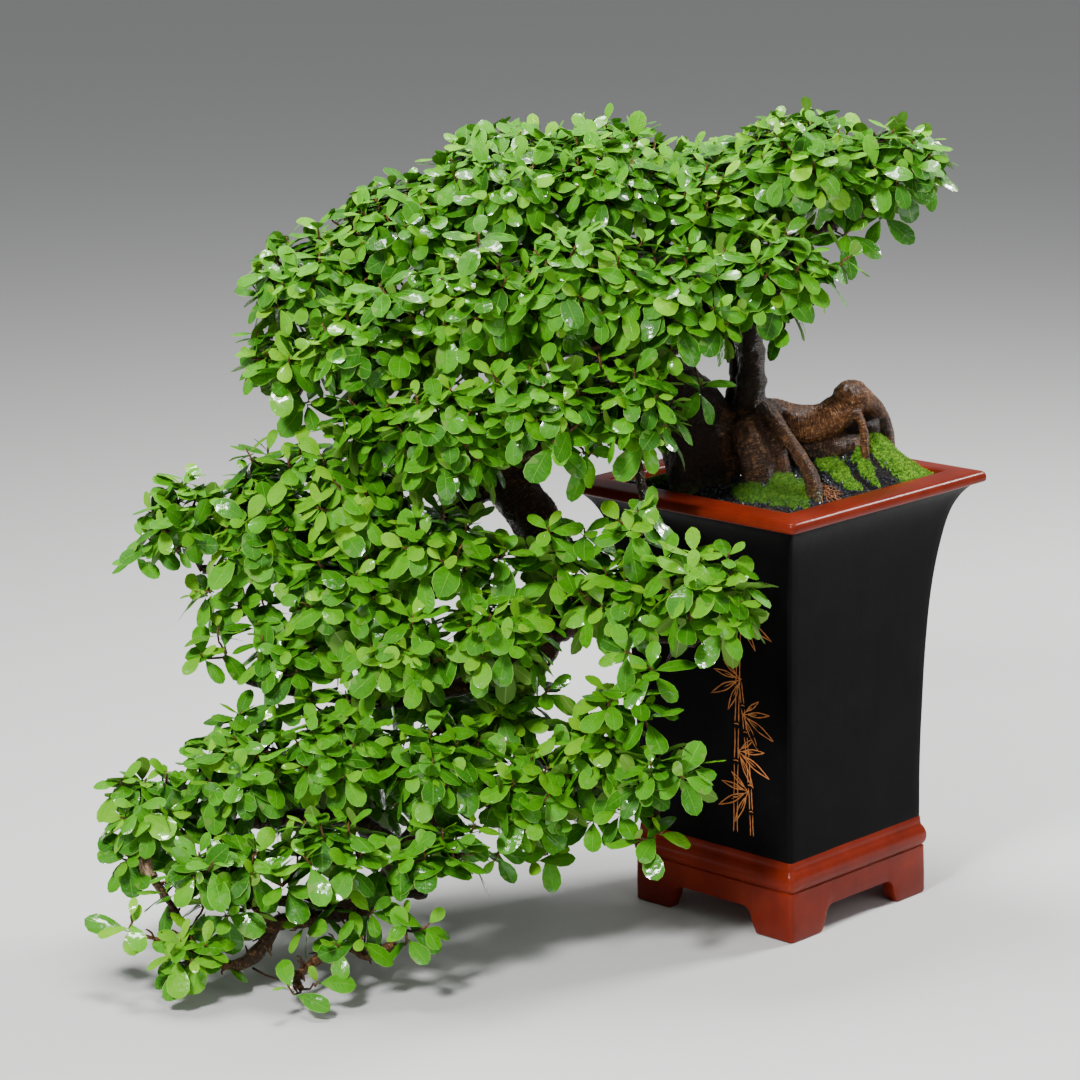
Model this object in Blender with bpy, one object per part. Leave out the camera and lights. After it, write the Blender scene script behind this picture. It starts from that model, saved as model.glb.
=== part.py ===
"""Cascading banyan bonsai in a tall, flared square pot.

The pot stands turned by 45 degrees, so its corners lie on the X and Y axes of its own frame.
The trunk climbs out of the soil, crosses the rim at -X and falls beside the pot. Its foliage
grows in pads, and each pad is one leafy spray on its own stem. All pieces are drawn in the
pot's frame, and an empty carries them to where the whole tree is centred on the origin.
Metres, +Z up, front at -Y.
"""

import math
import random

import bmesh
import bpy
from mathutils import Matrix, Vector
from mathutils.bvhtree import BVHTree

# Where the pot's axis stands, so that the origin is the centre of the whole tree's base box
POT_X = 0.2392
POT_Y = 0.0707

GAP = 0.0003  # between pieces that rest on each other
LOWEST_LEAF = 0.004  # the cascade trails this little above the surface

# Pot, as half sides of its square rings
RIM_HALF = 0.150
RIM_TOP = 0.442
RIM_EDGE = 0.010
MOUTH_HALF = 0.117
RIM_CROWN = 0.002  # the rim's inner edge stands this much higher
BODY_HALF = 0.1022
FOOT_HALF = 0.106
SKIRT_WALL = 0.014
SKIRT_TOP = 0.052
MOULDING_TOP = 0.070
MOULDING_OUT = 0.0018
BODY_START = 0.081
FLOOR_UNDER = 0.032
FLOOR_TOP = 0.047
POT_CORNER = 0.004
MOUTH_CORNER = 0.0005
ARCH_HEIGHT = 0.027
ARCH_HALF_LOW = 0.060
ARCH_HALF_HIGH = 0.053
ARCH_ROUND = 0.012
DRAIN_RADIUS = 0.016
# Flare of the body, and the inner wall that follows it
FLARE = ((0.0822, 0.1022), (0.141, 0.1025), (0.200, 0.1040), (0.256, 0.1063), (0.310, 0.1096),
         (0.350, 0.1138), (0.380, 0.1186), (0.403, 0.1242), (0.418, 0.1308), (0.427, 0.1375),
         (0.4315, 0.1425))
INNER_WALL = ((0.425, 0.1125), (0.400, 0.1075), (0.365, 0.1030), (0.300, 0.0985), (0.200, 0.0935),
              (0.100, 0.0905))
INNER_FLOOR_HALF = 0.0895

# Drain mesh
MESH_HALF = 0.023
MESH_THICK = 0.0015
MESH_HOLE = 0.0035
MESH_PITCH = 0.012
MESH_CORNER = 0.002

# Soil
SOIL_EDGE = 0.436
SOIL_CELLS = 8
SOIL_EDGE_POWER = 8  # how steeply the mounds fall off at the pot's wall
SOIL_MOUNDS = ((0.005, 0.005, 0.075, 0.030), (0.098, 0.002, 0.040, 0.038), (-0.005, -0.080, 0.036, 0.006))
ROOT_CLEARANCE = 0.0006

# Trunk, roots and branches: points along the middle of each, as x, y, z and radius
TRUNK = [
    (-0.061, 0.000, 0.414, 0.046), (-0.071, -0.005, 0.467, 0.043), (-0.096, -0.010, 0.520, 0.038),
    (-0.144, -0.010, 0.548, 0.033), (-0.201, -0.015, 0.536, 0.029), (-0.248, -0.020, 0.505, 0.027),
    (-0.270, -0.030, 0.462, 0.026), (-0.247, -0.042, 0.419, 0.025), (-0.225, -0.052, 0.375, 0.023),
    (-0.233, -0.062, 0.320, 0.021), (-0.258, -0.080, 0.266, 0.019), (-0.298, -0.100, 0.212, 0.017),
    (-0.342, -0.130, 0.155, 0.015), (-0.384, -0.160, 0.100, 0.013), (-0.412, -0.180, 0.068, 0.011),
]
ROOTS = {
    "log": [(-0.055, -0.005, 0.482, 0.026), (-0.012, -0.008, 0.501, 0.022), (0.020, -0.010, 0.498, 0.020),
        (0.043, -0.010, 0.499, 0.0195), (0.062, -0.006, 0.508, 0.018), (0.078, 0.001, 0.518, 0.0155),
        (0.093, 0.012, 0.512, 0.011), (0.105, 0.020, 0.496, 0.0095), (0.112, 0.022, 0.472, 0.009),
        (0.115, 0.022, 0.425, 0.010)],
    "log_prop": [(0.079, -0.012, 0.510, 0.005), (0.085, -0.022, 0.490, 0.0045),
        (0.088, -0.026, 0.440, 0.005)],
    "clump": [(0.018, -0.010, 0.466, 0.013), (0.048, -0.008, 0.471, 0.016), (0.076, -0.002, 0.470, 0.015),
        (0.097, 0.006, 0.452, 0.011)],
    "prop_front": [(-0.016, -0.028, 0.521, 0.009), (0.010, -0.060, 0.489, 0.007),
        (0.028, -0.090, 0.459, 0.0075), (0.030, -0.100, 0.424, 0.011)],
    "prop_mid": [(-0.022, -0.025, 0.512, 0.008), (-0.001, -0.048, 0.482, 0.007),
        (0.008, -0.060, 0.420, 0.009)],
    "stub_root": [(-0.030, -0.025, 0.501, 0.019), (-0.022, -0.048, 0.475, 0.018),
        (-0.015, -0.056, 0.415, 0.015)],
    "left_root": [(-0.083, -0.020, 0.486, 0.024), (-0.092, -0.036, 0.454, 0.018),
        (-0.094, -0.040, 0.410, 0.014)],
}
BRANCHES = {
    "leader": [(-0.033, -0.010, 0.498, 0.017), (-0.024, -0.012, 0.554, 0.014),
        (-0.029, -0.005, 0.613, 0.012), (-0.042, 0.010, 0.659, 0.011)],
    "leader_twin": [(-0.050, 0.008, 0.500, 0.009), (-0.038, 0.014, 0.547, 0.007),
        (-0.044, 0.022, 0.588, 0.006), (-0.043, 0.016, 0.629, 0.005)],
    "right_limb": [(-0.037, 0.005, 0.631, 0.010), (0.011, 0.012, 0.672, 0.008),
        (0.068, 0.012, 0.698, 0.006), (0.105, 0.010, 0.712, 0.004)],
    "ridge_limb": [(-0.041, 0.010, 0.653, 0.011), (-0.093, 0.025, 0.664, 0.010),
        (-0.172, 0.032, 0.676, 0.009), (-0.266, 0.025, 0.667, 0.008), (-0.360, 0.015, 0.634, 0.007),
        (-0.435, 0.000, 0.596, 0.005)],
    "crown_drop": [(-0.420, 0.003, 0.603, 0.005), (-0.460, -0.018, 0.566, 0.004),
        (-0.480, -0.030, 0.536, 0.0035)],
    "front_limb": [(-0.136, -0.010, 0.548, 0.017), (-0.148, -0.055, 0.590, 0.014),
        (-0.190, -0.078, 0.604, 0.011), (-0.293, -0.078, 0.583, 0.008), (-0.378, -0.072, 0.566, 0.0055),
        (-0.408, -0.084, 0.588, 0.004)],
    "front_right": [(-0.148, -0.055, 0.592, 0.009), (-0.088, -0.068, 0.592, 0.007),
        (-0.020, -0.058, 0.612, 0.0045)],
    "back_limb": [(-0.125, 0.005, 0.538, 0.014), (-0.128, 0.075, 0.545, 0.011),
        (-0.160, 0.102, 0.560, 0.009), (-0.275, 0.105, 0.546, 0.005)],
    "back_right": [(-0.130, 0.080, 0.549, 0.008), (-0.081, 0.098, 0.562, 0.006),
        (-0.027, 0.098, 0.582, 0.0045)],
    "fringe_limb": [(-0.186, -0.020, 0.539, 0.012), (-0.192, -0.085, 0.520, 0.009),
        (-0.237, -0.112, 0.501, 0.0065), (-0.312, -0.106, 0.476, 0.0045)],
    "fringe_right": [(-0.190, -0.078, 0.524, 0.007), (-0.150, -0.108, 0.497, 0.0055),
        (-0.140, -0.140, 0.468, 0.0045), (-0.138, -0.158, 0.446, 0.004)],
    "tier2_limb": [(-0.265, -0.028, 0.470, 0.015), (-0.332, -0.042, 0.420, 0.012),
        (-0.417, -0.050, 0.392, 0.010), (-0.507, -0.046, 0.374, 0.0075), (-0.575, -0.052, 0.374, 0.0045)],
    "tier2_front": [(-0.377, -0.046, 0.406, 0.007), (-0.400, -0.074, 0.360, 0.0055),
        (-0.420, -0.086, 0.322, 0.004)],
    "tier2_inner": [(-0.307, -0.036, 0.440, 0.008), (-0.326, -0.076, 0.390, 0.006),
        (-0.333, -0.094, 0.358, 0.0045)],
    "tier2_rear": [(-0.357, -0.046, 0.410, 0.007), (-0.405, 0.000, 0.340, 0.005),
        (-0.424, 0.010, 0.320, 0.004)],
    "mid_limb": [(-0.250, -0.074, 0.285, 0.011), (-0.290, -0.114, 0.276, 0.009),
        (-0.372, -0.118, 0.252, 0.007), (-0.470, -0.096, 0.254, 0.0055), (-0.545, -0.094, 0.275, 0.0035)],
    "mid_rear": [(-0.262, -0.082, 0.258, 0.008), (-0.304, -0.030, 0.208, 0.006),
        (-0.345, -0.005, 0.190, 0.0045)],
    "upper_pad": [(-0.236, -0.062, 0.303, 0.012), (-0.188, -0.106, 0.318, 0.009),
        (-0.092, -0.168, 0.318, 0.0045)],
    "lower_pad": [(-0.286, -0.096, 0.226, 0.010), (-0.213, -0.136, 0.172, 0.007),
        (-0.135, -0.176, 0.146, 0.0045)],
    "tier3_inner": [(-0.318, -0.114, 0.186, 0.008), (-0.280, -0.146, 0.131, 0.0055),
        (-0.258, -0.162, 0.112, 0.004)],
    "tier3_limb": [(-0.379, -0.155, 0.104, 0.011), (-0.437, -0.146, 0.142, 0.009),
        (-0.533, -0.138, 0.137, 0.007), (-0.606, -0.142, 0.124, 0.0055)],
    "tier3_up": [(-0.340, -0.130, 0.156, 0.008), (-0.343, -0.150, 0.162, 0.005)],
    "tier3_front": [(-0.412, -0.178, 0.073, 0.009), (-0.456, -0.208, 0.078, 0.007),
        (-0.540, -0.206, 0.082, 0.0045)],
    "tier3_right": [(-0.404, -0.172, 0.078, 0.007), (-0.359, -0.204, 0.081, 0.0045)],
    "tier3_rear": [(-0.373, -0.148, 0.110, 0.008), (-0.430, -0.065, 0.088, 0.005),
        (-0.452, -0.048, 0.084, 0.0045)],
    "low_tail": [(-0.412, -0.180, 0.068, 0.0105), (-0.460, -0.204, 0.061, 0.009),
        (-0.502, -0.222, 0.062, 0.008), (-0.517, -0.235, 0.043, 0.007), (-0.540, -0.245, 0.029, 0.0055),
        (-0.578, -0.250, 0.038, 0.0035)],
    "tail_spur": [(-0.504, -0.223, 0.061, 0.005), (-0.530, -0.224, 0.086, 0.0045),
        (-0.555, -0.216, 0.104, 0.004)],
    "tail_right": [(-0.412, -0.180, 0.068, 0.008), (-0.434, -0.216, 0.046, 0.0065),
        (-0.417, -0.244, 0.036, 0.0055), (-0.388, -0.258, 0.050, 0.004)],
    "tail_front": [(-0.431, -0.222, 0.043, 0.005), (-0.463, -0.248, 0.033, 0.005),
        (-0.482, -0.272, 0.026, 0.004), (-0.477, -0.286, 0.018, 0.003)],
    "cut_stub": [(-0.600, -0.142, 0.126, 0.0055), (-0.632, -0.164, 0.112, 0.0065),
        (-0.626, -0.178, 0.096, 0.0075)],
    "tip_drop": [(-0.626, -0.177, 0.097, 0.0045), (-0.612, -0.198, 0.084, 0.0035),
        (-0.593, -0.225, 0.066, 0.0032), (-0.580, -0.242, 0.046, 0.003)],
    "tip_twig": [(-0.589, -0.232, 0.057, 0.003), (-0.612, -0.237, 0.054, 0.0025),
        (-0.630, -0.238, 0.058, 0.002)],
}
TRUNK_SIDES = 10
ROOT_SIDES = 7
BRANCH_SIDES = 5
TRUNK_FLUTE = 0.06  # depth of the long ribs, as a share of the radius
ROOT_FLUTE = 0.05

# Foliage pads: centre x, y, z and radii, which reach to the leaf tips
PADS = {
    "crown_tip": (0.118, 0.010, 0.752, 0.062, 0.066, 0.054),
    "crown_ridge_a": (0.027, 0.020, 0.753, 0.080, 0.096, 0.066),
    "crown_ridge_b": (-0.071, 0.040, 0.720, 0.084, 0.112, 0.068),
    "crown_ridge_c": (-0.165, 0.040, 0.741, 0.084, 0.120, 0.070),
    "crown_ridge_d": (-0.262, 0.030, 0.741, 0.086, 0.116, 0.070),
    "crown_ridge_e": (-0.361, 0.020, 0.699, 0.082, 0.102, 0.064),
    "crown_left": (-0.454, 0.000, 0.649, 0.080, 0.084, 0.064),
    "crown_left_low": (-0.485, -0.035, 0.583, 0.048, 0.056, 0.044),
    "crown_front_a": (-0.010, -0.075, 0.662, 0.072, 0.062, 0.062),
    "crown_front_b": (-0.101, -0.105, 0.636, 0.078, 0.062, 0.070),
    "crown_front_c": (-0.195, -0.115, 0.660, 0.078, 0.062, 0.070),
    "crown_front_d": (-0.296, -0.110, 0.640, 0.078, 0.062, 0.070),
    "crown_front_e": (-0.392, -0.090, 0.603, 0.078, 0.062, 0.064),
    "crown_fringe_a": (-0.149, -0.150, 0.540, 0.060, 0.058, 0.066),
    "crown_fringe_b": (-0.231, -0.165, 0.544, 0.068, 0.058, 0.068),
    "crown_fringe_c": (-0.326, -0.145, 0.524, 0.068, 0.058, 0.070),
    "crown_fringe_d": (-0.398, -0.112, 0.528, 0.052, 0.050, 0.048),
    "crown_back_a": (-0.017, 0.120, 0.632, 0.080, 0.064, 0.056),
    "crown_back_b": (-0.150, 0.135, 0.612, 0.086, 0.064, 0.060),
    "crown_back_c": (-0.284, 0.130, 0.596, 0.086, 0.064, 0.060),
    "rim_cluster": (-0.147, -0.172, 0.439, 0.040, 0.034, 0.038),
    "tier2_tip": (-0.592, -0.060, 0.427, 0.054, 0.056, 0.048),
    "tier2_a": (-0.512, -0.050, 0.416, 0.064, 0.078, 0.078),
    "tier2_b": (-0.420, -0.080, 0.450, 0.068, 0.070, 0.062),
    "tier2_c": (-0.430, -0.120, 0.367, 0.070, 0.056, 0.062),
    "tier2_d": (-0.338, -0.130, 0.406, 0.062, 0.054, 0.060),
    "tier2_back": (-0.422, 0.030, 0.359, 0.080, 0.058, 0.054),
    "knee_front": (-0.232, -0.120, 0.388, 0.048, 0.036, 0.042),
    "mid_left": (-0.478, -0.100, 0.303, 0.062, 0.060, 0.048),
    "mid_a": (-0.378, -0.150, 0.308, 0.066, 0.054, 0.056),
    "mid_b": (-0.282, -0.160, 0.331, 0.062, 0.050, 0.060),
    "mid_back": (-0.345, 0.020, 0.233, 0.076, 0.058, 0.052),
    "mid_sprig": (-0.564, -0.098, 0.303, 0.030, 0.028, 0.028),
    "pad_upper_a": (-0.165, -0.150, 0.361, 0.054, 0.042, 0.056),
    "pad_upper_b": (-0.077, -0.205, 0.366, 0.058, 0.044, 0.062),
    "pad_lower_a": (-0.190, -0.172, 0.213, 0.054, 0.042, 0.062),
    "pad_lower_b": (-0.122, -0.212, 0.195, 0.052, 0.040, 0.052),
    "pad_lower_tip": (-0.140, -0.200, 0.136, 0.026, 0.026, 0.026),
    "tier3_top": (-0.272, -0.124, 0.240, 0.048, 0.042, 0.044),
    "tier3_tip": (-0.625, -0.150, 0.159, 0.054, 0.058, 0.050),
    "tier3_a": (-0.536, -0.150, 0.193, 0.066, 0.076, 0.062),
    "tier3_b": (-0.439, -0.165, 0.215, 0.066, 0.072, 0.060),
    "tier3_c": (-0.341, -0.185, 0.208, 0.066, 0.062, 0.060),
    "tier3_d": (-0.258, -0.188, 0.177, 0.056, 0.052, 0.058),
    "tier3_e": (-0.549, -0.235, 0.127, 0.060, 0.052, 0.038),
    "tier3_f": (-0.447, -0.245, 0.138, 0.064, 0.050, 0.052),
    "tier3_g": (-0.352, -0.235, 0.132, 0.060, 0.050, 0.040),
    "tier3_back": (-0.459, -0.020, 0.121, 0.088, 0.058, 0.048),
    "tier3_right": (-0.245, -0.180, 0.112, 0.026, 0.026, 0.026),
    "low_tip": (-0.642, -0.240, 0.070, 0.028, 0.026, 0.024),
    "low_left": (-0.583, -0.276, 0.056, 0.040, 0.032, 0.030),
    "low_front": (-0.473, -0.308, 0.030, 0.034, 0.028, 0.024),
    "low_right": (-0.370, -0.272, 0.074, 0.036, 0.030, 0.032),
    "low_inner": (-0.430, -0.280, 0.062, 0.032, 0.028, 0.026),
}
SITE_SPACING = 0.058  # between full-size rosettes
SITE_INSET = 0.035  # of a rosette's heart inside its pad's outline
SITE_INSET_SHARE = 0.62  # the same on the smallest pads, as a share of their least radius
SITE_CLEAR_INSET = 0.028  # how deep in a neighbouring pad a rosette would be buried
SITE_LOWEST = -0.55  # no rosette faces further down than this
SITES_PER_PAD = 60  # places tried on each pad
SMALL_PAD = 0.036  # least radius under which a pad buries nothing of its neighbours
STEM_RADIUS = 0.0030
STEM_LONGEST = 0.16
STEM_SEARCH = 0.0002  # step in which a stem's foot backs out of the wood
FORK_SHARE = 0.45  # of a stem's length, where a pad's other shoots leave it

# Leaf rosette: a three-sided shoot with two whorls of three blades
TWIG_RADIUS = 0.0022
HUB_HEIGHT = 0.0036
BLADE_LENGTH = 0.063
BLADE_WIDTH = 0.042
UPPER_BLADE_SHARE = 0.84
BLADE_SHOULDERS = ((0.36, 0.86), (0.76, 0.84))  # share of the length, share of the width
BLADE_MIDDLE = 0.54
BLADE_RIB = 0.0009  # the rib's line above the folded under side
BLADE_FOLD = 0.18  # rise of the edges, as a share of half the width
BLADE_ARCH = 0.12
LOWER_WHORL = math.radians(76)
UPPER_WHORL = math.radians(48)
BUD_LENGTH = 0.010
FULL_SIZE_PAD = 0.066  # mean radius of a pad from which its rosettes are full size
SMALLEST_SHARE = 0.66

# Placing a rosette: each try that crosses something is followed by one that strays a little more
PLACING_TRIES = 40
OUT_PULL = 0.85  # towards the outside of the pad
UP_PULL = 0.42  # towards the light
SWAY = 0.10
SWAY_STEP = 0.02
SHIFT_STEP = 0.0006
SHRINK_STEP = 0.006

SMALL_PADS = [name for name, pad in PADS.items() if min(pad[3:]) < SMALL_PAD]
rng = random.Random(7)


# Scene and mesh helpers


def clear_scene():
    for obj in list(bpy.data.objects):
        bpy.data.objects.remove(obj, do_unlink=True)


def material(name, color, roughness, coat=0.0):
    made = bpy.data.materials.new(name)
    made.use_nodes = True
    shader = made.node_tree.nodes["Principled BSDF"]
    shader.inputs["Base Color"].default_value = (*color, 1.0)
    shader.inputs["Roughness"].default_value = roughness
    shader.inputs["Metallic"].default_value = 0.0
    shader.inputs["Coat Weight"].default_value = coat
    return made


def mesh_object(name, points, faces):
    """A mesh object from points and faces, its faces turned outward."""
    mesh = bpy.data.meshes.new(name)
    mesh.from_pydata([tuple(p) for p in points], [], faces)
    bm = bmesh.new()
    bm.from_mesh(mesh)
    bmesh.ops.recalc_face_normals(bm, faces=bm.faces)
    if bm.calc_volume(signed=True) < 0:
        bmesh.ops.reverse_faces(bm, faces=bm.faces)
    bm.to_mesh(mesh)
    bm.free()
    obj = bpy.data.objects.new(name, mesh)
    bpy.context.scene.collection.objects.link(obj)
    return obj


def evaluated_copy(obj):
    graph = bpy.context.evaluated_depsgraph_get()
    return bpy.data.meshes.new_from_object(obj.evaluated_get(graph))


def apply_modifiers(obj):
    """Replace the object's mesh by what its modifiers make of it."""
    bpy.context.view_layer.update()
    mesh = evaluated_copy(obj)
    obj.modifiers.clear()
    obj.data = mesh


def boolean(obj, cutters, operation, solver):
    """One Boolean with every cutter, applied, the cutters then removed."""
    group = bpy.data.collections.new(obj.name + "_tools")
    bpy.context.scene.collection.children.link(group)
    for cutter in cutters:
        bpy.context.scene.collection.objects.unlink(cutter)
        group.objects.link(cutter)
    step = obj.modifiers.new("join", "BOOLEAN")
    step.operation = operation
    step.operand_type = "COLLECTION"
    step.collection = group
    step.solver = solver
    apply_modifiers(obj)
    for cutter in cutters:
        bpy.data.objects.remove(cutter, do_unlink=True)
    bpy.data.collections.remove(group)


def finish(obj, made_of, carrier, smooth_angle=35):
    """Give the object its one material, smooth its round parts and hang it on the carrier."""
    obj.data.materials.clear()
    obj.data.materials.append(made_of)
    for face in obj.data.polygons:
        face.material_index = 0
    obj.data.shade_smooth()
    obj.data.set_sharp_from_angle(angle=math.radians(smooth_angle))
    obj.parent = carrier
    return obj


def tree_of(points, faces):
    return BVHTree.FromPolygons([tuple(p) for p in points], faces)


def tree_of_object(obj):
    mesh = obj.data
    return BVHTree.FromPolygons([v.co[:] for v in mesh.vertices], [p.vertices[:] for p in mesh.polygons])


# Pot


def square_ring(half, height, corner=POT_CORNER):
    """A square turned by 45 degrees with rounded corners, as points at one height."""
    ring = []
    inner = half - corner
    for quarter in range(4):
        turn = math.radians(45 + 90 * quarter)
        centre = Vector((inner, inner, 0))
        for step in (-30, 30):
            angle = math.radians(45 + step)
            spot = centre + Vector((math.cos(angle), math.sin(angle), 0)) * corner
            ring.append(Matrix.Rotation(turn, 3, "Z") @ spot + Vector((0, 0, height)))
    return ring


def loft(rings):
    """Points and faces of a closed tube through rings of equal count, with both ends filled."""
    count = len(rings[0])
    points = [p for ring in rings for p in ring]
    faces = []
    for row in range(len(rings) - 1):
        for i in range(count):
            a, b = row * count + i, row * count + (i + 1) % count
            faces.append((a, b, b + count, a + count))
    faces.append(tuple(reversed(range(count))))
    faces.append(tuple(range(len(points) - count, len(points))))
    return points, faces


def cut_quads(points, faces):
    """The same shape with each four-sided face cut along one diagonal, so that all its faces are flat."""
    cut = []
    for face in faces:
        if len(face) == 4:
            cut += [(face[0], face[1], face[2]), (face[0], face[2], face[3])]
        else:
            cut.append(face)
    return points, cut


def pot_rings():
    skirt_inside = FOOT_HALF - SKIRT_WALL
    middle = (SKIRT_TOP + MOULDING_TOP) / 2
    outside = [
        (FLOOR_UNDER, skirt_inside), (0.0, skirt_inside), (0.0, FOOT_HALF),
        (SKIRT_TOP - 0.0015, FOOT_HALF), (SKIRT_TOP, FOOT_HALF - 0.0015), (SKIRT_TOP + 0.0015, FOOT_HALF),
        (middle - 0.005, FOOT_HALF + MOULDING_OUT), (middle + 0.002, FOOT_HALF + MOULDING_OUT),
        (MOULDING_TOP, FOOT_HALF - 0.0005), (BODY_START - 0.003, BODY_HALF + 0.0008),
        *FLARE,
        (RIM_TOP - RIM_EDGE, RIM_HALF - 0.0015), (RIM_TOP - 0.0015, RIM_HALF), (RIM_TOP, RIM_HALF - 0.0015),
        (RIM_TOP + 0.0005, RIM_HALF - 0.015), (RIM_TOP + RIM_CROWN, RIM_HALF - 0.018),
        (RIM_TOP + RIM_CROWN, MOUTH_HALF + 0.002),
    ]
    hollow = [(RIM_TOP, MOUTH_HALF), *INNER_WALL, (FLOOR_TOP, INNER_FLOOR_HALF)]
    return [square_ring(half, height) for height, half in outside] + [
        square_ring(half, height, MOUTH_CORNER) for height, half in hollow]


def arch_cutter(turn):
    """A bar with the arch's outline, which opens the skirt on two opposite sides."""
    reach = FOOT_HALF * 1.5
    low = -0.01
    outline = [(-ARCH_HALF_LOW, low), (-ARCH_HALF_LOW, 0.0)]
    for step in range(5):
        angle = math.pi - step * math.pi / 8
        outline.append((-ARCH_HALF_HIGH + ARCH_ROUND + ARCH_ROUND * math.cos(angle),
                        ARCH_HEIGHT - ARCH_ROUND + ARCH_ROUND * math.sin(angle)))
    outline += [(-x, z) for x, z in reversed(outline)]
    spin = Matrix.Rotation(turn, 3, "Z")
    rings = [[spin @ Vector((side, x, z)) for x, z in outline] for side in (-reach, reach)]
    return mesh_object("arch", *loft(rings))


def disc_rings(radius, low, high, sides):
    return [[Vector((radius * math.cos(i * math.tau / sides), radius * math.sin(i * math.tau / sides), z))
             for i in range(sides)] for z in (low, high)]


def build_pot():
    pot = mesh_object("pot", *loft(pot_rings()))
    cutters = [arch_cutter(math.radians(45)), arch_cutter(math.radians(135))]
    drain = disc_rings(DRAIN_RADIUS, FLOOR_UNDER - 0.01, FLOOR_TOP + 0.01, 16)
    cutters.append(mesh_object("drain", *loft(drain)))
    boolean(pot, cutters, "DIFFERENCE", "EXACT")
    return pot


def build_drain_mesh():
    low = FLOOR_TOP + GAP
    plate = mesh_object("drain_mesh", *loft([square_ring(MESH_HALF, low, MESH_CORNER),
                                             square_ring(MESH_HALF, low + MESH_THICK, MESH_CORNER)]))
    cutters = []
    for row in (-1, 0, 1):
        for column in (-1, 0, 1):
            hole = mesh_object("hole", *loft(disc_rings(MESH_HOLE, low - 0.002, low + 0.004, 5)))
            hole.data.transform(Matrix.Rotation(math.radians(45), 4, "Z")
                                @ Matrix.Translation((row * MESH_PITCH, column * MESH_PITCH, 0)))
            cutters.append(hole)
    boolean(plate, cutters, "DIFFERENCE", "EXACT")
    return plate


# Swept wood


def smooth_route(route, steps):
    """Points and radii along a smooth curve through the route, a few to each stretch."""
    spots = [Vector(p[:3]) for p in route]
    radii = [p[3] for p in route]
    made = []
    last = len(route) - 1
    for i in range(last):
        before, here, after, beyond = (spots[max(i - 1, 0)], spots[i], spots[i + 1], spots[min(i + 2, last)])
        for k in range(steps):
            t = k / steps
            spot = 0.5 * (2 * here + (after - before) * t
                          + (2 * before - 5 * here + 4 * after - beyond) * t * t
                          + (3 * here - before - 3 * after + beyond) * t ** 3)
            made.append((spot, radii[i] + (radii[i + 1] - radii[i]) * t))
    made.append((spots[last], radii[last]))
    return made


def tube(route, sides, steps, flute=0.0, grow=0.0):
    """Points and faces of a round sweep with soft ribs, grown outward on all sides."""
    run = smooth_route(route, steps)
    for end, beside in ((0, 1), (-1, -2)):
        past = (run[end][0] - run[beside][0]).normalized() * grow
        run[end] = (run[end][0] + past, run[end][1])
    rings = []
    side = None
    for i, (spot, radius) in enumerate(run):
        ahead = run[min(i + 1, len(run) - 1)][0] - run[max(i - 1, 0)][0]
        ahead.normalize()
        if side is None:
            side = ahead.orthogonal().normalized()
        side = (side - ahead * side.dot(ahead)).normalized()
        other = ahead.cross(side)
        ring = []
        for k in range(sides):
            angle = k * math.tau / sides
            reach = (radius + grow) * (1 + flute * math.cos(3 * angle + 0.9 * i))
            ring.append(spot + (side * math.cos(angle) + other * math.sin(angle)) * reach)
        rings.append(ring)
    return cut_quads(*loft(rings))


def trunk_and_roots(grow=0.0):
    """The trunk as one object and the roots as others, in the same form for the wood and for its holes."""
    trunk = mesh_object("trunk", *tube(TRUNK, TRUNK_SIDES, 2, TRUNK_FLUTE, grow))
    roots = [mesh_object(name, *tube(route, ROOT_SIDES, 2, ROOT_FLUTE, grow))
             for name, route in ROOTS.items()]
    return trunk, roots


def build_wood():
    """Trunk, roots and branches grown together as one solid."""
    wood, others = trunk_and_roots()
    wood.name = "wood"
    others += [mesh_object(name, *tube(route, BRANCH_SIDES, 1)) for name, route in BRANCHES.items()]
    boolean(wood, others, "UNION", "MANIFOLD")
    return wood


# Soil


def inner_half(height):
    """Half side of the pot's hollow at a height."""
    walls = sorted([(RIM_TOP, MOUTH_HALF), *INNER_WALL, (FLOOR_TOP, INNER_FLOOR_HALF)])
    for (low, half_low), (high, half_high) in zip(walls, walls[1:]):
        if height <= high:
            return half_low + (half_high - half_low) * (height - low) / (high - low)
    return MOUTH_HALF


def soil_height(x, y):
    height = SOIL_EDGE
    for centre_x, centre_y, width, rise in SOIL_MOUNDS:
        away = ((x - centre_x) ** 2 + (y - centre_y) ** 2) / width ** 2
        height += rise * math.exp(-away)
    half = inner_half(SOIL_EDGE)
    u, v = (x + y) / math.sqrt(2), (y - x) / math.sqrt(2)
    edge = max(abs(u), abs(v)) / half
    return SOIL_EDGE + (height - SOIL_EDGE) * (1 - edge ** SOIL_EDGE_POWER)


def square_edge(half, height, cells):
    """Points along the four sides of a square turned by 45 degrees, each side from its first corner."""
    ring = []
    for quarter in range(4):
        turn = Matrix.Rotation(math.radians(45 + 90 * quarter), 3, "Z")
        for i in range(cells):
            ring.append(turn @ Vector((half, -half + 2 * half * i / cells, 0)) + Vector((0, 0, height)))
    return ring


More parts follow.
